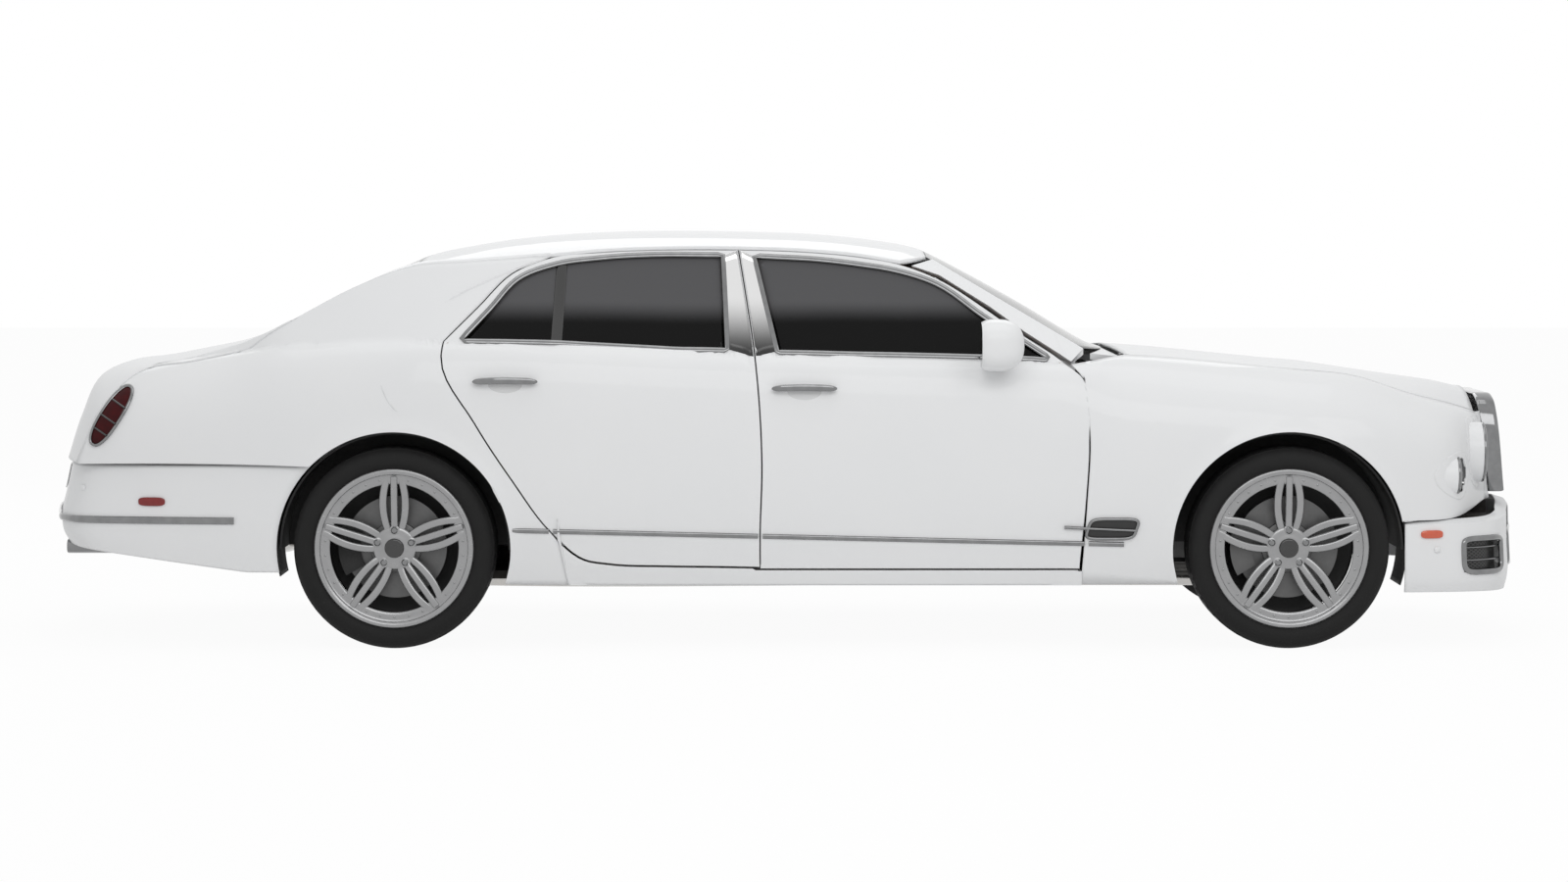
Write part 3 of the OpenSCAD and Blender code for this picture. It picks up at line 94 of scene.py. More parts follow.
DECK = [[-0.945, 0.455], [-0.9, 0.567], [-0.876, 0.621], [-0.835, 0.668], [-0.779, 0.676],
        [-0.668, 0.69], [-0.558, 0.71], [-0.447, 0.732], [-0.392, 0.75], [-0.226, 0.8245],
        [-0.0605, 0.8935], [0.021, 0.938], [0.067, 0.9606], [0.136, 0.983], [0.228, 0.997],
        [0.332, 1], [0.436, 0.9954], [0.482, 0.99], [0.528, 0.98], [0.574, 0.965],
        [0.597, 0.9507], [0.643, 0.901], [0.712, 0.819], [0.781, 0.7305], [0.804, 0.71],
        [0.828, 0.708], [0.873, 0.6955], [1.04, 0.673], [1.28, 0.658], [1.52, 0.638],
        [1.68, 0.624], [1.78, 0.61]]


def lined(table, *scale):
    """A share table with its stations as places and its other columns scaled."""
    t = np.asarray(table, float)
    return np.column_stack([sx(t[:, 0])] + [t[:, i + 1] * f for i, f in enumerate(scale)])


PLAN_LINE = lined(PLAN, HALF_W)
EDGE_LINE = lined(EDGE, HEIGHT, HALF_W)
DECK_LINE = lined(DECK, HEIGHT)
WAIST_Z = 0.42 * HEIGHT
TUCK = 0.057 * HALF_W
LEAN = 0.585


def deck_z(x):
    """Height of the body's top line at x."""
    return cubic(DECK_LINE, x)[..., 0]


def edge_of(x):
    """Height and half width of the flank's upper edge at x."""
    e = cubic(EDGE_LINE, x)
    return e[..., 0], np.minimum(e[..., 1], cubic(PLAN_LINE, x)[..., 0])


def side_y(x, z):
    """Half width of the flank: a parabola under the waist, a rolled shoulder over it, then the glass lean."""
    x, z = np.broadcast_arrays(np.asarray(x, float), np.asarray(z, float))
    wide = cubic(PLAN_LINE, x)[..., 0]
    top, y = edge_of(x)
    low = wide - TUCK * ((WAIST_Z - z) / (WAIST_Z - SILL_Z)) ** 2
    roll = np.clip((z - WAIST_Z) / np.maximum(top - WAIST_Z, 1e-4), 0, 1)
    high = y + (wide - y) * np.sqrt(1 - roll ** 3)
    return np.where(z < WAIST_Z, low, np.where(z < top, high, y - LEAN * (z - top)))


def laid(p, depth=0.0):
    """Places in side view laid on the left flank, sunk by a depth."""
    return np.stack([p[..., 0], side_y(p[..., 0], p[..., 1]) - depth, p[..., 1]], axis=-1)


def smooth(points, corners=(), m=6, closed=True):
    """A dense line through points: cubic spans whose tangents break at the corners."""
    p = np.asarray(points, float)
    n = len(p)
    ahead = np.roll(p, -1, axis=0) - p
    length = np.linalg.norm(ahead, axis=1, keepdims=True) + 1e-12
    way = ahead / length
    back, back_length = np.roll(way, 1, axis=0), np.roll(length, 1, axis=0)
    tangent = (way * back_length + back * length) / (length + back_length)
    sharp = np.zeros((n, 1), bool)
    sharp[list(corners)] = True
    if not closed:
        sharp[[0, n - 1]] = True
    out = np.where(sharp, way, tangent) * length
    into = np.roll(np.where(sharp, back, tangent), -1, axis=0) * length
    u = (np.arange(m) / m)[None, :, None]
    a, b = p[:, None], np.roll(p, -1, axis=0)[:, None]
    s, e = out[:, None], into[:, None]
    line = a + u * (s + u * (3 * (b - a) - 2 * s - e + u * (2 * (a - b) + s + e)))
    line = line.reshape(-1, p.shape[1])
    return line if closed else np.concatenate([line[: (n - 1) * m], p[-1:]])


def unit(t):
    """Rows of vectors brought to length one."""
    return t / (np.linalg.norm(t, axis=1, keepdims=True) + 1e-12)


def along(path, closed):
    """Unit directions along a path, from the neighbours of each point."""
    if closed:
        return unit(np.roll(path, -1, axis=0) - np.roll(path, 1, axis=0))
    return unit(np.gradient(path, axis=0))


def around(n):
    """Angles of n even steps once round."""
    return np.linspace(0, 2 * np.pi, n + 1)[:-1]


def moved_in(loop, d):
    """A closed loop in side view moved to the left of its way round by a distance."""
    t = along(loop, True)
    return loop + np.stack([-t[:, 1], t[:, 0]], axis=-1) * np.asarray(d, float).reshape(-1, 1)


def mix(a, b, v):
    """Share v of the way from a to b, one row for each v."""
    v = np.asarray(v, float).reshape(-1, *([1] * np.ndim(a)))
    return a + (b - a) * v


# Meshes
def quads(m, n, wrap_u, wrap_v):
    """Four corners of each cell of a grid of m rows and n columns, round either way or not."""
    i, j = np.meshgrid(np.arange(m - (not wrap_u)), np.arange(n - (not wrap_v)), indexing="ij")
    k, l = (i + 1) % m, (j + 1) % n
    return np.stack([i * n + j, i * n + l, k * n + l, k * n + j], axis=-1)


MIDDLE = np.array([0.0, 0.0, 0.55])


class Form:
    """Grids gathered into one piece: corners, faces and the material number of each face."""

    def __init__(self):
        self.points = []
        self.faces = []
        self.marks = []
        self.count = 0

    def grid(self, p, rows_round=False, columns_round=False, caps=False, mark=0, keep=None, flip=None,
             pole=False):
        """Adds a surface of rows and columns of points, turned away from the car's middle.

        Fans close both end rows, or only the last as a pole.
        """
        p = np.asarray(p, float)
        m, n = p.shape[:2]
        f = quads(m, n, rows_round, columns_round)
        f = f.reshape(-1, 4) if keep is None else f[keep]
        flat = p.reshape(-1, 3)
        j = np.arange(n)
        after = (j + 1) % n
        if caps or pole:
            base = (m - 1) * n
            fan = np.stack([np.full(n, len(flat)), base + j, base + after, base + after], axis=-1)
            f = np.concatenate([f, fan])
            flat = np.concatenate([flat, p[-1].mean(axis=0)[None]])
        if caps:
            fan = np.stack([np.full(n, len(flat)), after, j, j], axis=-1)
            f = np.concatenate([f, fan])
            flat = np.concatenate([flat, p[0].mean(axis=0)[None]])
        if flip is None:
            a, b, c = (flat[f[:, k]] for k in range(3))
            flip = np.sum(np.cross(b - a, c - a) * (a - MIDDLE)) < 0
        if flip:
            f = f[:, ::-1]
        self.points.append(flat)
        self.faces.append(f + self.count)
        self.marks.append(np.full(len(f), mark))
        self.count += len(flat)
        return self

    def solid(self, p, rows_round=False, caps=True, mark=0):
        """Adds a closed surface whose columns run round, faces turned outwards."""
        p = np.asarray(p, float)
        q = p if rows_round else np.concatenate([p, p[:1] * 0 + p[:1].mean(axis=1, keepdims=True)])
        a, b = q, np.roll(q, -1, axis=1)
        c, d = np.roll(b, -1, axis=0), np.roll(q, -1, axis=0)
        o = p.reshape(-1, 3).mean(axis=0)
        volume = np.sum(np.cross(a - o, b - o) * (c - o)) + np.sum(np.cross(a - o, c - o) * (d - o))
        return self.grid(p, rows_round, True, caps and not rows_round, mark, flip=volume < 0)

    def build(self, name, body, materials, stands_for=(), slot=None, side=1, thick=0.0, sharp=40):
        """Makes the mesh object, mirrored to the right for side -1, and lets it ride on a body."""
        co = np.concatenate(self.points) * [1, side, 1]
        f = np.concatenate(self.faces)
        f = f[:, ::-1] if side < 0 else f
        mesh = bpy.data.meshes.new(name)
        triple = (f[:, 2] == f[:, 3]) | (f[:, 0] == f[:, 1])
        tidy = np.where((f[:, 0] == f[:, 1])[:, None], f[:, [1, 2, 3, 3]], f)
        sizes = np.where(triple, 3, 4)
        used = np.arange(4)[None] < sizes[:, None]
        mesh.vertices.add(len(co))
        mesh.vertices.foreach_set("co", co.astype(np.float32).ravel())
        mesh.loops.add(int(sizes.sum()))
        mesh.loops.foreach_set("vertex_index", tidy[used].astype(np.int32))
        mesh.polygons.add(len(f))
        mesh.polygons.foreach_set("loop_start", (np.cumsum(sizes) - sizes).astype(np.int32))
        mesh.polygons.foreach_set("material_index", np.concatenate(self.marks).astype(np.int32))
        mesh.polygons.foreach_set("use_smooth", np.ones(len(f), bool))
        mesh.update(calc_edges=True)
        mesh.validate()
        mesh.set_sharp_from_angle(angle=math.radians(sharp))
        for m in materials:
            mesh.materials.append(m)
        obj = bpy.data.objects.new(name, mesh)
        bpy.context.scene.collection.objects.link(obj)
        if thick:
            shell = obj.modifiers.new("thickness", "SOLIDIFY")
            shell.thickness = thick
            shell.offset = -1
        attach(obj, body)
        if stands_for:
            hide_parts(*stands_for)
        return obj

    def pair(self, name, body, materials, stands_for="", slot=None, **more):
        """Makes the piece on both sides of the car; braces in the names stand for the side."""
        for side, sign in SIDES:
            stands = [stands_for.format(side)] if stands_for else ()
            self.build(name.format(side), body.format(side), materials, stands, slot, sign, **more)


SIDES = (("left", 1), ("right", -1))


# Materials
class Wire:
    """A shader socket that takes part in sums and products, and makes further nodes."""

    def __init__(self, tree, socket=None):
        self.tree = tree
        self.socket = socket

    def node(self, kind, settings=None, sockets=None, output=0):
        """A new node with its settings and sockets filled, as the wire from one of its outputs."""
        n = self.tree.nodes.new(kind)
        for key, value in (settings or {}).items():
            setattr(n, key, value)
        for key, value in (sockets or {}).items():
            if isinstance(value, Wire):
                self.tree.links.new(value.socket, n.inputs[key])
            else:
                n.inputs[key].default_value = value
        return Wire(self.tree, n.outputs[output] if n.outputs else None)

    def math(self, operation, a, b):
        """One step of arithmetic on two wires or numbers."""
        return self.node("ShaderNodeMath", {"operation": operation}, {0: a, 1: b})

    def __add__(self, other):
        return self.math("ADD", self, other)

    def __radd__(self, other):
        return self.math("ADD", other, self)

    def __sub__(self, other):
        return self.math("SUBTRACT", self, other)

    def __rsub__(self, other):
        return self.math("SUBTRACT", other, self)

    def __mul__(self, other):
        return self.math("MULTIPLY", self, other)

    def __rmul__(self, other):
        return self.math("MULTIPLY", other, self)

    def ramp(self, low, high):
        """Smooth share of the way from low to high."""
        return self.node("ShaderNodeMapRange", {"interpolation_type": "SMOOTHSTEP"},
                         {"Value": self, "From Min": low, "From Max": high})

    def between(self, a, b):
        """Colour this share of the way from a to b."""
        n = self.tree.nodes.new("ShaderNodeMix")
        n.data_type = "RGBA"
        for socket, value in ((n.inputs[0], self), (n.inputs[6], a), (n.inputs[7], b)):
            if isinstance(value, Wire):
                self.tree.links.new(value.socket, socket)
            else:
                socket.default_value = value
        return Wire(self.tree, n.outputs[2])


def tone(r, g=None, b=None):
    """A colour with full alpha, grey when one value is given."""
    return (r, r if g is None else g, r if b is None else b, 1.0)


def fresh(name):
    """An empty material, with the wire that makes its nodes and its object coordinates."""
    m = bpy.data.materials.new(name)
    m.use_nodes = True
    m.node_tree.nodes.clear()
    w = Wire(m.node_tree)
    return m, w, w.node("ShaderNodeTexCoord", output=3)


def noise(w, where, scale, detail=3.0):
    """Soft noise from 0 to 1 at a place."""
    return w.node("ShaderNodeTexNoise", None, {"Vector": where, "Scale": scale, "Detail": detail})


def closed_with(w, shader):
    """Ends a material with a shader."""
    w.node("ShaderNodeOutputMaterial", None, {"Surface": shader})


def finish_of(name, one, two, rough=(0.4, 0.5), scale=8.0, bump=0.0, bump_scale=60.0, cells=False, **fixed):
    """A material whose colour and roughness drift with noise, with a fine bump of noise or cells."""
    m, w, where = fresh(name)
    drift = noise(w, where, scale)
    sockets = {"Base Color": drift.between(one, two), "Roughness": drift * (rough[1] - rough[0]) + rough[0]}
    if bump:
        kind = "ShaderNodeTexVoronoi" if cells else "ShaderNodeTexNoise"
        grain = w.node(kind, None, {"Vector": where, "Scale": bump_scale})
        relief = {"Strength": 0.5, "Distance": bump, "Height": grain}
        sockets["Normal"] = w.node("ShaderNodeBump", None, relief)
    sockets.update(fixed)
    closed_with(w, w.node("ShaderNodeBsdfPrincipled", None, sockets))
    return m


METAL = {"Metallic": 1.0}
PAINT = finish_of("white paint", tone(0.80, 0.81, 0.82), tone(0.84, 0.845, 0.85), (0.26, 0.34), 2.0,
                  **{"Coat Weight": 0.3, "Coat Roughness": 0.03, "Specular IOR Level": 0.0})
CHROME = finish_of("chrome", tone(0.17, 0.172, 0.175), tone(0.27, 0.272, 0.275), (0.05, 0.11), 30.0, **METAL)
SILVER = finish_of("wheel silver", tone(0.27, 0.272, 0.275), tone(0.34, 0.34, 0.345), (0.22, 0.30), 20.0,
                   **{"Metallic": 0.7, "Coat Weight": 0.4})
DARK_METAL = finish_of("dark metal", tone(0.10), tone(0.16), (0.4, 0.55), 25.0, **METAL)
IRON = finish_of("iron", tone(0.10), tone(0.15), (0.36, 0.5), 45.0, **METAL)
STEEL = finish_of("exhaust steel", tone(0.45), tone(0.55, 0.53, 0.5), (0.16, 0.28), 14.0, **METAL)
CHASSIS = finish_of("underseal", tone(0.018), tone(0.035), (0.6, 0.8), 12.0, 0.002, 90.0)
PLASTIC = finish_of("black plastic", tone(0.014), tone(0.024), (0.42, 0.55), 18.0, 0.0006, 400.0)
GLOSS_BLACK = finish_of("gloss black", tone(0.008), tone(0.014), (0.05, 0.10), 10.0, **{"Coat Weight": 0.6})
CARPET = finish_of("carpet", tone(0.03, 0.028, 0.026), tone(0.055, 0.05, 0.045), (0.85, 0.95), 40.0,
                   0.003, 300.0)
LEATHER = finish_of("leather", tone(0.30, 0.19, 0.115), tone(0.36, 0.235, 0.15), (0.36, 0.5), 6.0,
                    0.0012, 260.0, cells=True)
PIPING = finish_of("dark leather", tone(0.03, 0.022, 0.018), tone(0.05, 0.035, 0.028), (0.4, 0.5), 9.0,
                   0.0008, 300.0, cells=True)
WOOD = finish_of("wood veneer", tone(0.09, 0.035, 0.014), tone(0.20, 0.085, 0.035), (0.12, 0.2), 5.0,
                 **{"Coat Weight": 1.0})
AMBER = finish_of("amber lens", tone(0.55, 0.055, 0.012), tone(0.66, 0.085, 0.016), (0.1, 0.18), 60.0,
                  **{"Coat Weight": 1.0})
RED = finish_of("red lens", tone(0.025, 0.003, 0.004), tone(0.07, 0.004, 0.005), (0.06, 0.12), 40.0,
                **{"Specular IOR Level": 0.12})
MARKER_RED = finish_of("red marker", tone(0.17, 0.006, 0.006), tone(0.24, 0.010, 0.010), (0.1, 0.18), 50.0)
# Painted shade: the cup is body-coloured, and this grey stands in for the shade under the handle
CUP_PAINTED_SHADE = finish_of("handle cup", tone(0.62, 0.625, 0.63), tone(0.70, 0.705, 0.71), (0.3, 0.4), 9.0,
                **{"Coat Weight": 0.5})
WHITE_LAMP = finish_of("lamp optic", tone(0.75), tone(0.9), (0.15, 0.3), 50.0,
                       **{"Emission Color": tone(0.9, 0.95, 1.0), "Emission Strength": 0.35})
BLANK_PLATE = finish_of("blank plate", tone(0.72), tone(0.78), (0.35, 0.45), 12.0)


def rubber_material():
    """Black rubber: broad noise in the colour and roughness, and fine noise in the bump."""
    m, w, where = fresh("tyre rubber")
    drift = noise(w, where, 14.0)
    fine = noise(w, where, 220.0)
    normal = w.node("ShaderNodeBump", None, {"Strength": 0.35, "Distance": 0.0008, "Height": fine})
    closed_with(w, w.node("ShaderNodeBsdfPrincipled", None, {
        "Base Color": drift.between(tone(0.008), tone(0.017)), "Roughness": drift * 0.16 + 0.62,
        "Normal": normal, "Specular IOR Level": 0.2}))
    return m


def glass_material(name, low, high, low_z, high_z, alpha):
    """Tinted glass with a painted reflection: darker below a level than above it, as if it mirrored a dark
    ground, and partly clear.
    """
    m, w, where = fresh(name)
    z = w.node("ShaderNodeSeparateXYZ", None, {0: where}, 2)
    # Painted reflection: the colour goes from the dark low colour to the high colour between two heights
    share = (z + noise(w, where, 1.5) * 0.03).ramp(low_z, high_z)
    closed_with(w, w.node("ShaderNodeBsdfPrincipled", None, {
        "Base Color": share.between(low, high), "Roughness": noise(w, where, 3.0) * 0.02 + 0.015,
        "Alpha": noise(w, where, 2.0) * 0.02 + alpha, "Specular IOR Level": 0.12}))
    return m


def clear_material():
    """Clear lens: a thin mix of sheen and see-through, weighed by the angle of view."""
    m, w, where = fresh("clear lens")
    facing = w.node("ShaderNodeLayerWeight", None, {"Blend": 0.35}, 1)
    drift = noise(w, where, 30.0)
    gloss = w.node("ShaderNodeBsdfPrincipled", None, {
        "Base Color": drift.between(tone(0.75), tone(0.85)), "Roughness": drift * 0.03 + 0.02})
    see = w.node("ShaderNodeBsdfTransparent", None, {"Color": tone(0.93, 0.94, 0.95)})
    closed_with(w, w.node("ShaderNodeMixShader", None, {0: facing * 0.6 + 0.08, 1: see, 2: gloss}))
    return m


def mesh_material():
    """Dark woven mesh: bright wires along two slanted sets of waves over black."""
    m, w, where = fresh("dark mesh")
    y = w.node("ShaderNodeSeparateXYZ", None, {0: where}, 1)
    z = w.node("ShaderNodeSeparateXYZ", None, {0: where}, 2)
    one = w.math("ABSOLUTE", w.math("SINE", (y + z) * 240.0, 0.0), 0.0)
    two = w.math("ABSOLUTE", w.math("SINE", (y - z) * 240.0, 0.0), 0.0)
    wire = w.math("MAXIMUM", one, two).ramp(0.86, 0.96)
    normal = w.node("ShaderNodeBump", None, {"Strength": 0.6, "Distance": 0.003, "Height": wire})
    closed_with(w, w.node("ShaderNodeBsdfPrincipled", None, {
        "Base Color": wire.between(tone(0.006), tone(0.10)), "Roughness": 0.6 - wire * 0.3, "Metallic": wire,
        "Normal": normal}))
    return m


RUBBER = rubber_material()
# The dark lower part of the side glass and the screens is a painted reflection of a dark ground
SIDE_GLASS = glass_material("side glass", tone(0.004), tone(0.098, 0.098, 0.102), 1.20, 1.29, 0.95)
SCREEN_GLASS = glass_material("screen glass", tone(0.008), tone(0.05, 0.054, 0.056), 1.05, 1.40, 0.88)
CLEAR = clear_material()
MESH = mesh_material()


# Stage: floor, world, lights and camera
LAMPS = (("top", (0.0, 0.0, 6.5), (7.0, 4.0), 80.0), ("near", (1.5, -7.0, 5.0), (8.0, 3.0), 150.0),
         ("far", (-1.0, 7.0, 5.0), (8.0, 3.0), 110.0))
AIM_Z = 0.6
CAMERA_BACK = 17.53
CAMERA_Z = 1.653
LOOK_DOWN = 0.94
LENS = 104.7
FLOOR_HALF = 40


def looked_at(w):
    """One for rays of the camera, of mirrors and of glass, and nought for the light on dull surfaces."""
    camera, mirror, glass = (w.node("ShaderNodeLightPath", output=k) for k in (0, 3, 6))
    return w.math("MINIMUM", camera + mirror + glass, 1.0)


def set_stage():
    """A pale floor and world that read white to the camera, to metal and to glass, and soft lights."""
    floor = bpy.data.meshes.new("floor")
    h = FLOOR_HALF
    floor.from_pydata([(-h, -h, 0), (h, -h, 0), (h, h, 0), (-h, h, 0)], [], [(0, 1, 2, 3)])
    m, w, where = fresh("floor")
    pale = noise(w, where, 0.4).between(tone(0.84), tone(0.9))
    soft = w.node("ShaderNodeBsdfDiffuse", None, {"Color": pale})
    plain = w.node("ShaderNodeEmission", None, {"Color": tone(1.0), "Strength": 1.0})
    closed_with(w, w.node("ShaderNodeMixShader", None, {0: looked_at(w) * 0.95, 1: soft, 2: plain}))
    floor.materials.append(m)
    ground = bpy.data.objects.new("floor", floor)
    bpy.context.scene.collection.objects.link(ground)
    world = bpy.data.worlds.new("studio")
    bpy.context.scene.world = world
    world.use_nodes = True
    world.node_tree.nodes.clear()
    w = Wire(world.node_tree)
    w.node("ShaderNodeOutputWorld", None, {"Surface": w.node("ShaderNodeBackground", None, {
        "Color": tone(1.0), "Strength": looked_at(w) * 0.38 + 0.62})})
    for name, at, size, power in LAMPS:
        light = bpy.data.lights.new(name, "AREA")
        light.shape = "RECTANGLE"
        light.size, light.size_y = size
        light.energy = power
        lamp = bpy.data.objects.new(name, light)
        lamp.location = at
        aim = math.atan2(at[1], at[2] - AIM_Z)
        lamp.rotation_euler = (-aim, 0, 0)
        bpy.context.scene.collection.objects.link(lamp)
    eye = bpy.data.cameras.new("camera")
    eye.lens = LENS
    eye.sensor_width = 36.0
    eye.clip_end = 200.0
    camera = bpy.data.objects.new("camera", eye)
    camera.location = (0.0, -CAMERA_BACK, CAMERA_Z)
    camera.rotation_euler = (math.pi / 2 - math.atan2(LOOK_DOWN, CAMERA_BACK), 0, 0)
    bpy.context.scene.collection.objects.link(camera)
    bpy.context.scene.camera = camera
    bpy.context.scene.view_settings.view_transform = "Standard"


set_stage()


# Doors
FRONT_DOOR = [[0.766, 0.193], [0.773, 0.366], [0.776, 0.501], [0.769, 0.6535], [0.751, 0.685],
              [0.74, 0.703], [0.702, 0.755], [0.663, 0.815], [0.607, 0.89], [0.565, 0.923],
              [0.523, 0.939], [0.466, 0.9507], [0.425, 0.955], [0.384, 0.957], [0.394, 0.83],
              [0.403, 0.7035], [0.409, 0.562], [0.411, 0.4425], [0.409, 0.275], [0.409, 0.193],
              [0.53, 0.193], [0.65, 0.193]]
FRONT_WINDOW = [[0.69, 0.7035], [0.705, 0.702], [0.716, 0.701], [0.724, 0.6995], [0.7295, 0.699],
                [0.7185, 0.714], [0.693, 0.749], [0.66, 0.794], [0.607, 0.8725], [0.56, 0.905],
                [0.52, 0.919], [0.466, 0.932], [0.43, 0.936], [0.404, 0.939], [0.4165, 0.83],
                [0.4295, 0.717], [0.44, 0.7165], [0.455, 0.716], [0.475, 0.715], [0.5, 0.7135],
                [0.56, 0.711], [0.63, 0.7075]]
REAR_DOOR = [[0.409, 0.197], [0.409, 0.275], [0.411, 0.4425], [0.409, 0.562], [0.403, 0.7035],
             [0.394, 0.83], [0.384, 0.957], [0.345, 0.9575], [0.303, 0.957], [0.226, 0.9507],
             [0.173, 0.939], [0.129, 0.9], [0.092, 0.82], [0.0546, 0.739], [0.053, 0.7035],
             [0.091, 0.544], [0.133, 0.406], [0.177, 0.279], [0.2135, 0.2155], [0.239, 0.206],
             [0.305, 0.2005], [0.36, 0.199]]
REAR_WINDOW = [[0.32, 0.724], [0.335, 0.7235], [0.35, 0.723], [0.36, 0.7225], [0.3705, 0.722],
               [0.368, 0.83], [0.365, 0.9415], [0.34, 0.942], [0.303, 0.9425], [0.226, 0.934],
               [0.179, 0.92], [0.136, 0.884], [0.107, 0.815], [0.0766, 0.744], [0.092, 0.7435],
               [0.115, 0.743], [0.14, 0.742], [0.165, 0.741], [0.19, 0.739], [0.215, 0.736],
               [0.25, 0.732], [0.285, 0.728]]
DENSE = 6
GLASS_THICK = 0.004
PANEL_THICK = 0.004
LID_THICK = 0.012
BUMPER_THICK = 0.006


class Door:
    """A door's loops: its shut line, its window and the rebate of its inner face."""

    def __init__(self, name, outline, window, corners, window_corners):
        self.name = name
        self.on = name + "_door_{}"
        self.line = smooth(place(outline), corners, DENSE)
        self.edge = moved_in(self.line, GAP / 2)
        self.window = smooth(place(window), window_corners, DENSE)
        n = len(outline)
        steps = np.arange(n * DENSE) / DENSE
        d = np.where(np.arange(n) < 4, 0.125, 0.014) + GAP / 2
        self.rebate = moved_in(self.line, np.interp(steps, np.arange(n + 1), np.append(d, d[0])))


def inner_depth(p):
    """Depth of a door's inner face: thin at the window frame and full below the belt."""
    top = edge_of(p[..., 0])[0]
    return 0.040 + 0.065 * np.clip((top - p[..., 1]) / 0.105, 0, 1)


def build_door(door):
    """Outer skin between shut line and window, rounded edges, then the inner face, as one ring."""
    outer = mix(door.edge, door.window, np.linspace(0, 1, 30) ** 0.8)
    outer[0] = moved_in(door.edge, 0.0015)
    rows = [laid(door.edge, 0.007), laid(door.edge, 0.0018)] + [laid(p) for p in outer]
    inner = mix(door.window, door.rebate, np.linspace(0, 1, 9))
    rows += [laid(p, inner_depth(p)) for p in inner] + [laid(door.rebate, 0.0072)]
    form = Form().grid(np.array(rows), True, True)
    marks = np.array([0] * (len(rows) - 11) + [1] * 11)
    form.marks[-1] = np.repeat(marks, len(door.edge))
    form.pair(door.on + "_skin", door.on, [PAINT, LEATHER], door.on, "paint")


def build_glass(door):
    """Pane: rings that shrink from under the window's edge to its middle, a little under the skin."""
    loop = moved_in(door.window, -0.004)
    middle = np.broadcast_to(loop.mean(axis=0), loop.shape)
    rings = laid(mix(loop, middle, np.linspace(0, 1, 14)[:-1]), 0.008)
    form = Form().grid(rings, False, True, pole=True)
    form.pair(door.name + "_pane_{}", door.on, [SIDE_GLASS], door.name + "_glass_{}", "glass",
              thick=GLASS_THICK)


def bar_on_side(path, wide, high, lift=0.0, closed=False):
    """A rounded bar laid on the flank along a path in side view: an oval swept along it."""
    t = along(path, closed)
    across = np.stack([-t[:, 1], t[:, 0]], axis=-1)
    a = around(16)
    p = path[:, None, :] + across[:, None, :] * (wide / 2 * np.cos(a))[None, :, None]
    q = laid(p)
    q[..., 1] += lift + high * np.sin(a)
    return q


def build_trim(door):
    """Chrome round the window: a rounded bar along its edge."""
    bar = bar_on_side(moved_in(door.window, -0.006), 0.019, 0.006, 0.001, True)
    Form().solid(bar, rows_round=True).pair(door.name + "_window_trim_{}", door.on, [CHROME], "", "chrome")


front_door = Door("front", FRONT_DOOR, FRONT_WINDOW, [0, 4, 13, 19], [4, 13, 15])
rear_door = Door("rear", REAR_DOOR, REAR_WINDOW, [0, 6, 13], [4, 6, 13])
for one in (front_door, rear_door):
    build_door(one)
    build_glass(one)
    build_trim(one)


# Fixed flanks
WING_ANGLES = [198, 184, 168, 152, 143, 136, 128, 108, 88, 62, 45, 36, 31, 27, 23, 18, 13]
WING = [[0.7675, 0.155], [0.774, 0.366], [0.777, 0.501], [0.770, 0.655], [0.757, 0.684], [0.78, 0.6915],
        [0.82, 0.7035], [0.93, 0.687], [1.04, 0.6675], [1.28, 0.6515], [1.505, 0.607], [1.696, 0.576],
        [1.8, 0.556], [1.84, 0.46], [1.84, 0.34], [1.66, 0.312], [1.45, 0.308]]
QUARTER_ANGLES = [-18, -5, 10, 26, 42, 56, 62, 66, 70, 74, 78, 83, 88, 93, 98, 102, 106, 110, 114, 119,
                  124, 129, 133, 135.5]
QUARTER_MIDDLE = [[0.165, 0.154], [0.165, 0.24], [0.15, 0.285], [0.115, 0.4], [0.075, 0.53], [0.04, 0.68],
                  [0.03, 0.715], [0.02, 0.725], [0.01, 0.728], [-0.01, 0.728], [-0.04, 0.728], [-0.08, 0.726],
                  [-0.14, 0.724], [-0.22, 0.718], [-0.31, 0.71], [-0.37, 0.7], [-0.42, 0.685], [-0.48, 0.665],
                  [-0.56, 0.64], [-0.6, 0.59], [-0.6, 0.55], [-0.58, 0.5], [-0.56, 0.465], [-0.54, 0.4455]]
QUARTER = [[0.194, 0.154], [0.193, 0.236], [0.176, 0.279], [0.132, 0.406], [0.090, 0.544], [0.052, 0.7035],
           [0.0525, 0.739], [0.090, 0.821], [0.127, 0.903], [0.170, 0.9425], [0.075, 0.928], [0.022, 0.92],
           [-0.12, 0.866], [-0.25, 0.804], [-0.36, 0.745], [-0.405, 0.715], [-0.475, 0.7015], [-0.558, 0.686],
           [-0.7, 0.661], [-0.765, 0.608], [-0.8, 0.568], [-0.838, 0.49], [-0.86, 0.4445], [-0.855, 0.4425]]
INNER_LAMP = (1.8, 0.571, 0.4615, 0.111)
OUTER_LAMP = (1.67, 0.81, 0.4135, 0.068)


def lamp_place(lamp):
    """Middle of a lamp's front on the left side, and its radius."""
    return np.array([float(sx(lamp[0])), lamp[1] * HALF_W, lamp[2] * HEIGHT]), lamp[3]


def arch_line(x, angles):
    """Points of the wheel arch at angles about the axle, made dense."""
    a = np.radians(np.asarray(angles, float))
    p = np.stack([x + ARCH_R * np.cos(a), AXLE_Z + ARCH_R * np.sin(a)], axis=-1)
    return smooth(p, (), DENSE, False)


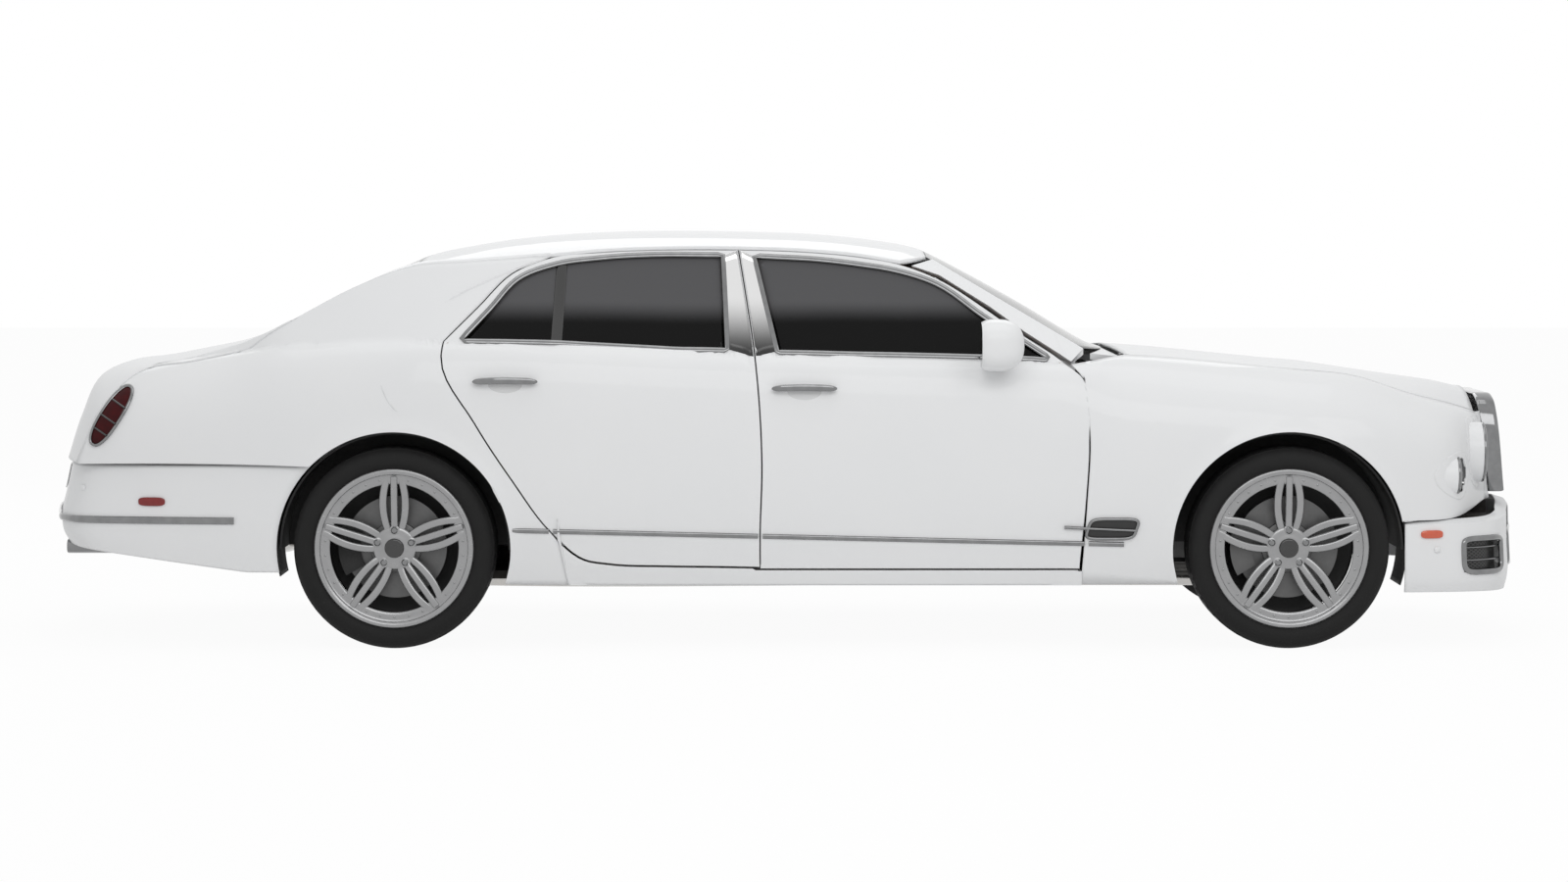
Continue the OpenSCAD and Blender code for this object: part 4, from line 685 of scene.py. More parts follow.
def arch_panel(x, arc, middle, outer, rows):
    """Panel from a wheel arch through a middle line to an outer line, with a lip that swells at the arch."""
    v = np.linspace(0, 1, rows)[:, None, None]
    near = 2 * (v - 0.5) * (v - 1)
    p = arc * near + middle * (4 * v * (1 - v)) + outer * (2 * v * (v - 0.5))
    q = laid(p)
    r = np.hypot(p[..., 0] - x, p[..., 1] - AXLE_Z)
    q[..., 1] += 0.007 * np.exp(-((r - ARCH_R) / 0.03) ** 2)
    lip = q[:1] - [0, 0.028, 0]
    return np.concatenate([lip, q])


def quarter_line():
    """Outer line of the rear quarter, which follows the rear door's edge where they meet."""
    line = smooth(place(QUARTER), [1, 9, 15, 22], DENSE, False)
    door = moved_in(rear_door.line, -GAP / 2)[10 * DENSE: 17 * DENSE + 1]
    line[2 * DENSE: 9 * DENSE + 1] = door[::-1]
    return line


def build_flanks():
    """Front wings with their lamp holes and rear quarters, each one grid with thickness."""
    outer = smooth(place(WING), [3, 4, 12, 13, 14], DENSE, False)
    capped = np.minimum(outer[:, 1], edge_of(outer[:, 0])[0])
    outer[:, 1] = np.where(outer[:, 0] > FRONT_X + NOSE, outer[:, 1], capped)
    arc = arch_line(FRONT_X, WING_ANGLES)
    wing = arch_panel(FRONT_X, arc, (arc + outer) / 2, outer, 44)
    middle = (wing[:-1, :-1] + wing[1:, 1:]) / 2
    keep = np.ones(middle.shape[:2], bool)
    for lamp in (INNER_LAMP, OUTER_LAMP):
        at, r = lamp_place(lamp)
        off = np.hypot(middle[..., 1] - at[1], middle[..., 2] - at[2])
        keep &= (off > r) | (middle[..., 0] < at[0] - 0.25)
    outer = quarter_line()
    arc = arch_line(REAR_X, QUARTER_ANGLES)
    quarter = arch_panel(REAR_X, arc, smooth(place(QUARTER_MIDDLE), (), DENSE, False), outer, 40)
    for name, form in (("wing_{}", Form().grid(wing, keep=keep)), ("quarter_{}", Form().grid(quarter))):
        form.pair(name + "_skin", "body", [PAINT], name, "paint", thick=PANEL_THICK)


def nose_x(y, z):
    """Place along the car where the nose of the wing has a given half width, at each height."""
    x = np.linspace(2.15, 2.655, 160)
    wide = side_y(x[:, None] + 0 * z.reshape(1, -1), np.broadcast_to(z.reshape(1, -1), (160, z.size)))
    near = np.argmin(np.abs(wide - y.reshape(1, -1)), axis=0)
    return x[near].reshape(z.shape)


def build_nose():
    """Collars laid on the wings round the lamps, and panels from the wings' front edges in to the grille."""
    a = around(72)
    front = laid(smooth(place(WING), [3, 4, 12, 13, 14], DENSE, False)[12 * DENSE: 14 * DENSE + 1])
    inner = np.stack([2.660 - (front[:, 2] - 0.54) * 0.105, np.full(len(front), 0.335), front[:, 2]], axis=-1)
    panel = mix(front, inner, np.linspace(0, 1, 10))
    form = Form()
    for lamp in (INNER_LAMP, OUTER_LAMP):
        at, r = lamp_place(lamp)
        rho = r + np.linspace(-0.003, 0.022, 6)[:, None]
        y, z = at[1] + rho * np.cos(a), at[2] + rho * np.sin(a)
        form.grid(np.stack([nose_x(y, z) + 0.0015, y, z], axis=-1), False, True)
    form.grid(panel)
    form.pair("nose_panel_{}", "body", [PAINT], "", "paint", thick=0.003)


build_flanks()
build_nose()


# Roof, lids and panes
ROOF = [[0.596, 0.941, 0.623], [0.566, 0.929, 0.72], [0.523, 0.945, 0.72], [0.466, 0.9565, 0.72],
        [0.384, 0.963, 0.72], [0.303, 0.963, 0.72], [0.226, 0.9565, 0.72], [0.173, 0.9455, 0.72],
        [0.129, 0.938, 0.672], [0.075, 0.93, 0.64], [0.022, 0.922, 0.6]]
BOOT_CENTRE = [[-0.401, 0.7455], [-0.47, 0.7265], [-0.558, 0.71], [-0.7, 0.686], [-0.79, 0.675],
               [-0.855, 0.648], [-0.9, 0.567], [-0.943, 0.4475]]
BOOT_SIDE = [[-0.405, 0.717], [-0.475, 0.7035], [-0.558, 0.688], [-0.7, 0.663], [-0.765, 0.61], [-0.8, 0.57],
             [-0.838, 0.492], [-0.862, 0.445]]
PANES = (("windscreen", (0.599, 0.59676, 0.62, 0.939), (0.806, 0.769, 0.815, 0.722)),
         ("rear_window", (0.0211, 0.0211, 0.597, 0.9195), (-0.388, -0.365, 0.665, 0.742)))
ACROSS = np.linspace(-1, 1, 61)


def crowned(x_mid, z_mid, x_side, z_side, y, power):
    """Rows across the car: a middle point that falls to the side points as a power of the share across."""
    v = np.abs(ACROSS)[None, :] ** power
    x = x_mid[:, None] + (x_side - x_mid)[:, None] * v
    z = z_mid[:, None] + (z_side - z_mid)[:, None] * v
    return np.stack([x, ACROSS[None, :] * y[:, None], z], axis=-1)


def build_tops():
    """Roof, bonnet, scuttle and boot lid as crowned rows, windscreen and rear window as bowed panes."""
    t = np.asarray(ROOF, float)
    line = smooth(np.column_stack([place(t[:, :2]), t[:, 2] * HALF_W]), [1], 8, False)
    y = np.minimum(side_y(line[:, 0], line[:, 1]), line[:, 2])
    roof = crowned(line[:, 0], deck_z(line[:, 0]), line[:, 0], line[:, 1], y, 2.4)
    Form().grid(roof).build("roof_skin", "body", [PAINT], ["roof"], "paint", thick=LID_THICK)
    x = np.linspace(float(sx(0.822)), float(sx(1.795)), 72)
    z, y = edge_of(x)
    bonnet = crowned(x, deck_z(x), x, z, y - GAP, 2.2)
    Form().grid(bonnet).build("bonnet_skin", "bonnet", [PAINT], ["bonnet"], "paint", thick=LID_THICK)
    v = np.linspace(0, 1, 8)
    back, out = sx(0.8085 + 0.0095 * v), sx(0.775 + 0.043 * v)
    z, y = edge_of(out)
    drop = 0.012 + 0.036 * v
    scuttle = crowned(back, deck_z(back) - drop, out, z - drop, y - GAP - 0.012, 2.2)
    Form().grid(scuttle).build("scuttle_panel", "body", [PAINT], (), "paint", thick=0.006)
    c = smooth(place(BOOT_CENTRE), (), 8, False)
    s = smooth(place(BOOT_SIDE), (), 8, False)
    boot = crowned(c[:, 0], c[:, 1], s[:, 0], s[:, 1], side_y(s[:, 0], s[:, 1]) - GAP, 2.4)
    Form().grid(boot).build("boot_lid_skin", "boot_lid", [PAINT], ["boot_lid"], "paint", thick=LID_THICK)
    for name, *ends in PANES:
        e = np.array(ends)
        e = np.column_stack([sx(e[:, 0]), sx(e[:, 1]), e[:, 2] * HALF_W, e[:, 3] * HEIGHT])
        a = mix(e[0], e[1], np.linspace(0, 1, 30))
        pane = crowned(a[:, 0], deck_z(a[:, 0]), a[:, 1], a[:, 3], a[:, 2], 2.0)
        Form().grid(pane).build(name + "_pane", "body", [SCREEN_GLASS], [name], "glass", thick=GLASS_THICK)


PILLAR_INNER = [[0.17, 0.945, 0.69], [0.075, 0.93, 0.64], [0.022, 0.922, 0.6], [-0.12, 0.847, 0.625],
                [-0.25, 0.791, 0.646], [-0.36, 0.744, 0.664], [-0.405, 0.728, 0.668]]


def build_pillars():
    """Rear pillars: rows from the edge of the roof and rear window out to the quarter, a little crowned."""
    t = np.asarray(PILLAR_INNER, float)
    flat = smooth(np.column_stack([place(t[:, :2]), t[:, 2] * HALF_W]), (), DENSE, False)
    inner = flat[:, [0, 2, 1]]
    outer = laid(quarter_line()[9 * DENSE: 15 * DENSE + 1])
    v = np.linspace(0, 1, 10)
    p = mix(inner, outer, v)
    p[..., 2] += 0.010 * (v * (1 - v) * 4)[:, None]
    Form().grid(p).pair("rear_pillar_{}", "body", [PAINT], "", "paint", thick=PANEL_THICK)


def build_sills():
    """Sill covers: rows from the sill's foot up to just under the doors' lower edges."""
    rear = moved_in(rear_door.line, -GAP * 1.1)[16 * DENSE + 4:]
    x = np.linspace(float(rear[-1, 0]) + 0.01, float(sx(0.764)), 40)
    front = np.stack([x, np.full(40, 0.193 * HEIGHT - GAP)], axis=-1)
    top = np.concatenate([rear, front])
    low = np.stack([np.maximum(top[:, 0], sx(0.1945)), np.full(len(top), SILL_Z + 0.002)], axis=-1)
    top[:, 0] = np.maximum(top[:, 0], float(sx(0.183)))
    p = laid(mix(low, top, np.linspace(0, 1, 10)), -0.0015)
    Form().grid(p).pair("sill_cover_{}", "body", [PAINT], "", "paint", thick=0.006)


build_tops()
build_pillars()
build_sills()


def tube(path, wide, high, out, closed=False, n=14):
    """An oval swept along a path in space; its height stands the given way out."""
    path = np.asarray(path, float)
    t = along(path, closed)
    o = np.broadcast_to(np.asarray(out, float), path.shape)
    o = unit(o - np.sum(o * t, axis=1, keepdims=True) * t)
    s = np.cross(t, o)
    a = around(n)[None, :, None]
    return path[:, None] + wide / 2 * np.cos(a) * s[:, None] + high / 2 * np.sin(a) * o[:, None]


def turned(profile, n=96):
    """A profile of radii and places along the axle, turned about the wheel's own axle."""
    p = np.asarray(profile, float)
    a = around(n)
    r, y = p[:, 0][:, None], np.broadcast_to(p[:, 1][:, None], (len(p), n))
    return np.stack([r * np.cos(a), y, r * np.sin(a)], axis=-1)


def rounded(a, n=2.6):
    """Cosine and sine of a rounded square at angles."""
    c, s = np.cos(a), np.sin(a)
    return np.sign(c) * np.abs(c) ** (2 / n), np.sign(s) * np.abs(s) ** (2 / n)


# Bumpers
FRONT_PLAN = [[1.452, 0.938], [1.55, 0.92], [1.7, 0.87], [1.82, 0.785], [1.893, 0.62], [1.93, 0.42],
              [1.968, 0.2], [1.985, 0]]
FRONT_SECTION = [[0.335, 0.1], [0.326, 0.012], [0.25, 0.006], [0.15, 0], [0.113, 0.024]]
REAR_PLAN = [[-0.3, 0.968], [-0.5, 0.945], [-0.7, 0.905], [-0.85, 0.845], [-0.905, 0.74], [-0.933, 0.55],
             [-0.962, 0.3], [-0.985, 0]]
FRONT_END = FRONT_PLAN[0][0]
REAR_END = REAR_PLAN[0][0]
INTAKE_TOP, INTAKE_FOOT = 0.445, 0.685
INTAKES = ((0.138, 0.245), (0.755, 0.862), (0.345, 0.655))
REAR_SECTION = [[0.4412, 0.052], [0.352, 0.019], [0.309, 0], [0.2445, 0.0095], [0.185, 0.04]]


def turned_x(profile, at, n=64):
    """A profile of radii and places forward of a point, turned about a line along the car."""
    p = np.asarray(profile, float)
    a = around(n)
    r = p[:, 0][:, None]
    x = np.broadcast_to(p[:, 1][:, None], (len(p), n))
    return np.stack([at[0] + x, at[1] + r * np.cos(a), at[2] + r * np.sin(a)], axis=-1)


def block(low, high, n=7.0, rows=9):
    """A box with rounded edges: a rounded square swept along X, drawn in at both ends."""
    low, high = np.asarray(low, float), np.asarray(high, float)
    mid, half = (low + high) / 2, (high - low) / 2
    a = np.linspace(-np.pi / 2 + 0.02, np.pi / 2 - 0.02, rows * 2)
    cx, sxx = rounded(a, n)
    c, s = rounded(around(40), n)
    x = np.broadcast_to(mid[0] + half[0] * sxx[:, None], (rows * 2, 40))
    return np.stack([x, mid[1] + half[1] * cx[:, None] * c, mid[2] + half[2] * cx[:, None] * s], axis=-1)


class Bumper:
    """A half plan line mirrored to the other side and swept down a section of heights and set-backs."""

    def __init__(self, plan, section, front):
        half = np.asarray(plan, float)
        self.plan = smooth(np.concatenate([half, half[-2::-1] * [1, -1]]), (), 12, False)
        self.section = smooth(section, [1] if front else [2], 12, False)
        self.front = front

    def at(self, u, t):
        """Point at share u round the plan and share t down the section."""
        u, t = np.broadcast_arrays(np.asarray(u, float), np.asarray(t, float))
        ku, kt = np.linspace(0, 1, len(self.plan)), np.linspace(0, 1, len(self.section))
        s, y = (np.interp(u, ku, self.plan[:, k]) for k in (0, 1))
        z, back = (np.interp(t, kt, self.section[:, k]) for k in (0, 1))
        if self.front:
            x = sx(s + (FRONT_END - s) * back)
            z = z - 0.0292 * np.clip((z - 0.25) / 0.076, 0, 1) * np.abs(y)
            z = z + 0.024 * np.clip((t - 0.55) / 0.45, 0, 1) * np.abs(y)
            return np.stack([x, y * HALF_W * (1 - back / 2), z * HEIGHT], axis=-1)
        z = z + 0.062 * np.clip(-(s + 0.4) / 0.55, 0, 1) * np.clip((t - 0.5) / 0.5, 0, 1)
        x = sx(s + (REAR_END - s) * back)
        end = REAR_X - np.sqrt(np.maximum(ARCH_R ** 2 - (z * HEIGHT - AXLE_Z) ** 2, 0)) - 0.001
        x = x + (end - float(sx(REAR_END))) * np.clip((s + 0.5) / 0.2, 0, 1) ** 2
        return np.stack([x, y * HALF_W * (1 - back / 6), z * HEIGHT], axis=-1)

    def frame(self, low, high, top, foot):
        """A closed path round a rounded opening, given by its shares."""
        c, s = rounded(around(72), 5.0)
        u = (low + high) / 2 + (high - low) / 2 * c
        return self.at(u, (top + foot) / 2 + (foot - top) / 2 * s)


def build_bumpers():
    """Front bumper with three framed mesh openings, and rear bumper with its strip."""
    front, rear = Bumper(FRONT_PLAN, FRONT_SECTION, True), Bumper(REAR_PLAN, REAR_SECTION, False)
    top, foot = INTAKE_TOP, INTAKE_FOOT
    u = np.unique(np.concatenate([np.linspace(0, 1, 121), np.ravel(INTAKES)]))
    t = np.unique(np.concatenate([np.linspace(0, 1, 49), [top, foot]]))
    p = front.at(u[None, :], t[:, None])
    mu, mt = (u[1:] + u[:-1]) / 2, (t[1:] + t[:-1]) / 2
    keep = np.ones((len(mt), len(mu)), bool)
    trim = Form()
    mesh = Form()
    for low, high in INTAKES:
        across, down = (mu > low) & (mu < high), (mt > top) & (mt < foot)
        keep &= ~(across[None, :] & down[:, None])
        path = front.frame(low, high, top, foot)
        out = path - [1.9, 0, 0]
        out[:, 2] = 0
        trim.solid(tube(path, 0.022, 0.020, out, True), rows_round=True)
        uu, tt = np.linspace(low - 0.01, high + 0.01, 24), np.linspace(top - 0.03, foot + 0.03, 12)
        grid = front.at(uu[None, :], tt[:, None])
        mesh.grid(grid * [1, 0.985, 1] - [0.030, 0, 0])
        for level in np.linspace(top, foot, 4)[1:-1]:
            bar = front.at(np.linspace(low, high, 24), np.full(24, level)) * [1, 0.99, 1] - [0.012, 0, 0]
            trim.solid(tube(bar, 0.007, 0.012, (1, 0, 0)))
    skin = Form().grid(p, keep=keep)
    skin.build("front_bumper_skin", "body", [PAINT], ["front_bumper"], "paint", thick=BUMPER_THICK)
    trim.build("intake_frames", "body", [CHROME], (), "chrome")
    mesh.build("intake_mesh", "body", [MESH], (), "plastic", thick=0.004)
    u, t = np.linspace(0, 1, 121), np.linspace(0, 1, 49)
    skin = Form().grid(rear.at(u[None, :], t[:, None]))
    skin.build("rear_bumper_skin", "body", [PAINT], ["rear_bumper"], "paint", thick=BUMPER_THICK)
    w = np.linspace(0.045, 0.955, 180)
    strip = rear.at(w, np.full(180, 0.5)) * [1.0012, 1.0025, 1]
    Form().solid(tube(strip, 0.026, 0.014, strip * [1, 1, 0] - [-1.3, 0, 0])).build(
        "rear_strip", "body", [CHROME], (), "chrome")
    return front, rear


FRONT_BUMPER, REAR_BUMPER = build_bumpers()


# Wheels
TYRE_HALF_W = 0.1275
BEAD_R = 0.283
SPOKE_FOOT_R, SPOKE_TIP_R = 0.062, 0.262
NUT_R = 0.065
STUD_R = 0.253
ENDS = (("front", FRONT_X), ("rear", REAR_X))
RING = [[0.262, -0.095], [0.2826, -0.098], [0.2826, 0.096], [0.2925, 0.104], [0.2925, 0.1125],
        [0.288, 0.1185], [0.279, 0.1190], [0.2715, 0.1150], [0.2700, 0.1075], [0.268, 0.1055],
        [0.239, 0.1020], [0.235, 0.0985], [0.236, 0.090], [0.255, 0.086], [0.262, 0.07]]


def tyre_form():
    """Tyre: a turned section whose tread dips in four grooves round it and slanted cuts at the shoulders."""
    w, b, r = TYRE_HALF_W, BEAD_R, AXLE_Z
    half = smooth([[b, 0.78 * w], [b + 0.012, 0.90 * w], [b + 0.35 * (r - b), 0.985 * w],
                   [b + 0.7 * (r - b), 0.965 * w], [0.982 * r, 0.83 * w], [0.9965 * r, 0.66 * w],
                   [r, 0.4 * w], [r, 0]], (), 4, False)
    y = np.linspace(0.83 * w, -0.83 * w, 61)
    order = np.argsort(half[:, 1])
    crown = np.stack([np.interp(np.abs(y), half[order, 1], half[order, 0]), y], axis=-1)
    crown[:, 0] = np.where(np.abs(y) < 0.8 * w, np.maximum(crown[:, 0], 0.982 * r), crown[:, 0])
    section = np.concatenate([half[:16], crown, half[:16][::-1] * [1, -1]])
    p = turned(section, 240)
    a = around(240)[None, :]
    yy = section[:, 1][:, None]
    on = (np.abs(yy) < 0.82 * w) & (section[:, 0][:, None] > 0.97 * r)
    groove = np.min(np.abs(np.abs(yy)[..., None] - np.array([0.018, 0.052])), axis=-1) < 0.0055
    cut = np.sin(60 * a + 90 * np.abs(yy)) > 0.80
    dip = np.where(on & groove, 0.007, np.where(on & cut & (np.abs(yy) > 0.058), 0.005, 0.0))
    flat = 1 - dip / np.maximum(section[:, 0][:, None], 0.1)
    p[..., 0] *= flat
    p[..., 2] *= flat
    return Form().solid(p, rows_round=True)


def rim_form():
    """Rim: turned barrel, stepped ring and lip, five spokes of three bars, hub, nuts, cap, studs and disc."""
    form = Form()
    form.solid(turned(smooth(RING, [1, 2, 7, 8, 14, 0], 4), 144), rows_round=True)
    a = around(24)
    c, s = rounded(a, 3.2)
    r = np.linspace(SPOKE_FOOT_R, SPOKE_TIP_R, 26)
    share = (r - SPOKE_FOOT_R) / (SPOKE_TIP_R - SPOKE_FOOT_R)
    axle = np.array([0, 1, 0])
    lift = 0.0885 + 0.021 * np.sin(share * np.pi * 0.62)
    for k in range(5):
        turn = np.radians(90 + 72 * k)
        way = np.array([np.cos(turn), 0, np.sin(turn)])
        across = np.array([-np.sin(turn), 0, np.cos(turn)])
        for off in (-1, 0, 1):
            side = off * (0.0205 + 0.0205 * np.sin(np.pi * np.clip(share, 0, 0.93)) ** 0.7)
            wide = 0.0135 + 0.0008 * abs(off)
            deep = 0.014 - 0.003 * abs(off)
            high = lift - deep - 0.004 * abs(off)
            middle = r[:, None] * way + side[:, None] * across + high[:, None] * axle
            oval = (wide * c)[:, None] * across + (deep * s)[:, None] * axle
            form.solid(middle[:, None] + oval)
        nut = turned([[0.0125, -0.008], [0.0125, 0.004], [0.009, 0.0075], [0.004, 0.0078]], 12)
        form.solid(nut + NUT_R * way + [0, 0.094, 0], mark=1)
        pad = turned([[0.019, -0.012], [0.019, 0.0], [0.016, 0.002], [0.005, 0.002]], 32)
        form.solid(pad + NUT_R * way + [0, 0.088, 0])
    hub = [[0.05, 0.03], [0.080, 0.034], [0.082, 0.075], [0.078, 0.084], [0.05, 0.090], [0.040, 0.092]]
    form.solid(turned(smooth(hub, [1, 2], 4, False), 72))
    cap = [[0.036, 0.086], [0.0355, 0.098], [0.033, 0.1015], [0.020, 0.1035], [0.008, 0.104]]
    form.solid(turned(smooth(cap, [1], 4, False), 48), mark=2)
    stud = turned([[0.0042, 0.0], [0.0038, 0.002], [0.002, 0.003]], 8)
    for angle in np.radians(np.arange(6, 366, 12)):
        form.solid(stud + [STUD_R * np.cos(angle), 0.1032, STUD_R * np.sin(angle)], mark=1)
    disc = [[0.095, -0.0113], [0.187, -0.0113], [0.187, 0.0], [0.187, 0.0225], [0.095, 0.0225]]
    form.solid(turned(disc, 120), rows_round=True, mark=3)
    hat = [[0.031, -0.0113], [0.0935, -0.0113], [0.0935, 0.030], [0.088, 0.0335], [0.031, 0.0335]]
    form.solid(turned(hat, 72), rows_round=True, mark=4)
    return form


def build_wheels():
    """Each tyre and rim set on its axle and riding on its wheel."""
    for end, x in ENDS:
        tyre, rim = tyre_form(), rim_form()
        for form in (tyre, rim):
            form.points = [q + [x, TRACK / 2, AXLE_Z] for q in form.points]
        wheel = f"wheel_{end}_" + "{}"
        tyre_node, rim_node = f"tyre_{end}_" + "{}", f"rim_{end}_" + "{}"
        tyre.pair(tyre_node + "_tread", wheel, [RUBBER], tyre_node, "tyre", sharp=35)
        finishes = [SILVER, CHROME, GLOSS_BLACK, IRON, DARK_METAL]
        rim.pair(rim_node + "_spokes", wheel, finishes, rim_node, "rim")


build_wheels()


def build_shields():
    """Brake shields: dished turned plates inside the rims."""
    dish = smooth([[0.250, -0.040], [0.253, -0.052], [0.235, -0.062], [0.12, -0.075], [0.07, -0.078]], (), 4,
                  False)
    back = dish[::-1] - [0, 0.004]
    plate = turned(np.concatenate([dish, back]), 72)
    for end, x in ENDS:
        body = "knuckle_{}" if end == "front" else "body"
        form = Form().solid(plate + [x, TRACK / 2, AXLE_Z], rows_round=True)
        form.pair(f"brake_shield_{end}_" + "{}", body, [PLASTIC], "", "chassis")


def build_liners():
    """Arch liners: dark sheets bent round the wheels behind the arches' edges."""
    for end, x, low, high in (("front", FRONT_X, -18.5, 198), ("rear", REAR_X, -18, 194)):
        a = np.radians(np.linspace(low, high, 90))[None, :]
        y = np.linspace(0.62, 0.895, 8)[:, None]
        r = ARCH_R + 0.006
        arc = np.broadcast_arrays(x + r * np.cos(a), y, AXLE_Z + r * np.sin(a))
        sheet = np.stack(arc, axis=-1)
        Form().grid(sheet).pair(f"arch_liner_{end}_" + "{}", "body", [CHASSIS], "", "chassis", thick=0.003)


build_shields()
build_liners()


# Chrome and furniture on the flanks
def strip_z(x):
    """Height of the low strip along the doors at x."""
    return 0.437 - (x + 0.998) * 0.0232


def handle_form(x, z):
    """Handle: a slim crowned grip, a rounded square swept along a bow, on two tapered feet."""
    form = Form()
    a = np.linspace(-1, 1, 41)
    c, s = rounded(around(20), 2.4)
    y0 = side_y(x + 0.118 * a, z)
    path = np.stack([x + 0.119 * a, y0 + 0.020 + 0.010 * (1 - a ** 2), z + 0.004 * (1 - a ** 2)], axis=-1)
    size = np.sqrt(1 - np.abs(a) ** 6 * 0.96)
    ovals = [np.zeros((41, 20)), (0.008 * size)[:, None] * c, (0.0125 * size)[:, None] * s]
    form.solid(path[:, None] + np.stack(ovals, axis=-1))
    for end in (-1, 1):
        b = np.linspace(0, 1, 8)[:, None]
        foot = x + end * 0.098
        xx = foot + 0.014 * np.cos(around(16)) * (1 - 0.25 * b)
        zz = z + 0.010 * np.sin(around(16)) * (1 - 0.2 * b)
        yy = side_y(foot, z) - 0.004 + 0.028 * b
        form.solid(np.stack(np.broadcast_arrays(xx, yy, zz), axis=-1))
    return form


LEAF_AXES = {"front": (1.00902, 0.936381), "rear": (-0.18453, 0.939006)}


def leaf_form(form, axis):
    """Adds a door's hinge leaves: a turned barrel round the pin and a flat tongue back into the door."""
    turn = around(32)
    wall = np.array([[0.0052, 0.0], [0.009, 0.0], [0.009, 0.026], [0.0052, 0.026]])
    for share in (0.34, 0.5):
        z = share * HEIGHT + 0.0263
        r = wall[:, 0][:, None]
        ring = np.broadcast_arrays(axis[0] + r * np.cos(turn), axis[1] + r * np.sin(turn), z + wall[:, 1:])
        form.solid(np.stack(ring, axis=-1), rows_round=True, mark=1)
        low = (axis[0] - 0.030, axis[1] - 0.006, z + 0.001)
        high = (axis[0] - 0.0085, axis[1] + 0.006, z + 0.025)
        form.solid(block(low, high), mark=1)
    return form


def cup_form(x, z):
    """Cup behind a handle: an oval dish drawn on the skin, its rim proud of it by a hair."""
    r = np.linspace(1, 0.05, 9)[:, None]
    a = around(48)
    p = np.stack([x + 0.062 * r * np.cos(a), z - 0.012 + 0.030 * r * np.sin(a)], axis=-1)
    q = laid(p)
    q[..., 1] += 0.0012 * (1 - r ** 4)
    return Form().solid(np.concatenate([q[:1] - [0, 0.003, 0], q]))


STRIPS = (("quarter", "body", -0.990, -0.858), ("rear", "rear_door_{}", -0.842, -0.0945),
          ("front", "front_door_{}", -0.0775, 1.095), ("wing", "body", 1.112, 1.240))
HANDLES = ((front_door, 0.0745, 0.955), (rear_door, -1.0155, 0.980))
POSTS = ((front_door, slice(13 * DENSE, 15 * DENSE + 1)), (rear_door, slice(4 * DENSE, 6 * DENSE + 1)))
MARKERS = (("rear_marker", MARKER_RED, (-2.314, 0.538), (0.050, 0.016), "lamp_red"),
           ("front_marker", AMBER, (2.372, 0.418), (0.042, 0.015), "lamp_red"),
           ("front_sensor", PAINT, (2.392, 0.362), (0.011, 0.011), "paint"),
           ("rear_sensor", PAINT, (-2.580, 0.585), (0.011, 0.011), "paint"))
PLATES = (("front", FRONT_BUMPER, 0.27, 0.43, 1), ("rear", REAR_BUMPER, 0.06, 0.22, -1))
DIVIDER_FOOT, DIVIDER_TOP = 1.122, 1.412


def build_side_trim():
    """Low strips, handles with cups, the rear divider bar, wing vents, markers and sensors."""
    for name, body, low, high in STRIPS:
        x = np.linspace(low, high, 60)
        bar = bar_on_side(np.stack([x, strip_z(x)], axis=-1), 0.018, 0.007, 0.001)
        Form().solid(bar).pair(name + "_strip_{}", body, [CHROME], "", "chrome")
    for door, x, z in HANDLES:
        hinged = leaf_form(handle_form(x, z), LEAF_AXES[door.name])
        hardware = door.name + "_hardware_{}"
        hinged.pair(door.name + "_handle_{}", door.on, [CHROME, DARK_METAL], hardware, "chrome")
        cup_form(x, z).pair(door.name + "_cup_{}", door.on, [CUP_PAINTED_SHADE], "", "paint")
    z = np.linspace(DIVIDER_FOOT, DIVIDER_TOP, 30)
    x = -0.833 + 0.014 * (z - DIVIDER_FOOT) / (DIVIDER_TOP - DIVIDER_FOOT)
    bar = bar_on_side(np.stack([x, z], axis=-1), 0.040, 0.006, -0.006)
    Form().solid(bar).pair("divider_bar_{}", rear_door.on, [GLOSS_BLACK], "", "plastic")
    for side, sign in SIDES:
        stands = ["wing_vents"] if side == "left" else ()
        vent_form().build(f"wing_vent_{side}_frame", "body", [CHROME, PLASTIC], stands, "chrome", sign)
    for name, finish, at, size, slot in MARKERS:
        marker_form(at, size).pair(name + "_{}", "body", [finish], "", slot)


def build_posts():
    """Bright covers on the doors' sides of the centre post: rows from window to shut line, crowned."""
    v = np.linspace(0, 1, 8)
    for door, span in POSTS:
        outer = moved_in(door.line, GAP / 2 + 0.002)[span]
        q = laid(mix(moved_in(door.window, -0.001)[span], outer, v))
        q[..., 1] += 0.0035 * (1 - (2 * v[:, None] - 1) ** 6)
        Form().grid(q).pair(door.name + "_post_cover_{}", door.on, [POST_COVER_PAINTED_REFLECTION], "", "chrome", thick=0.003)


def build_plates():
    """Blank plates laid on the bumpers' own surfaces."""
    for name, bumper, top, foot, way in PLATES:
        share = np.linspace(0, 1, len(bumper.plan))
        u = np.interp(np.linspace(-0.27, 0.27, 40), -bumper.plan[:, 1], share)
        plate = bumper.at(u[None, :], np.linspace(top, foot, 12)[:, None]) + [0.006 * way, 0, 0]
        Form().grid(plate).build(f"{name}_plate", "body", [BLANK_PLATE], (), "plastic", thick=0.004)


VENT_X, VENT_Z = 1.197, 0.4425


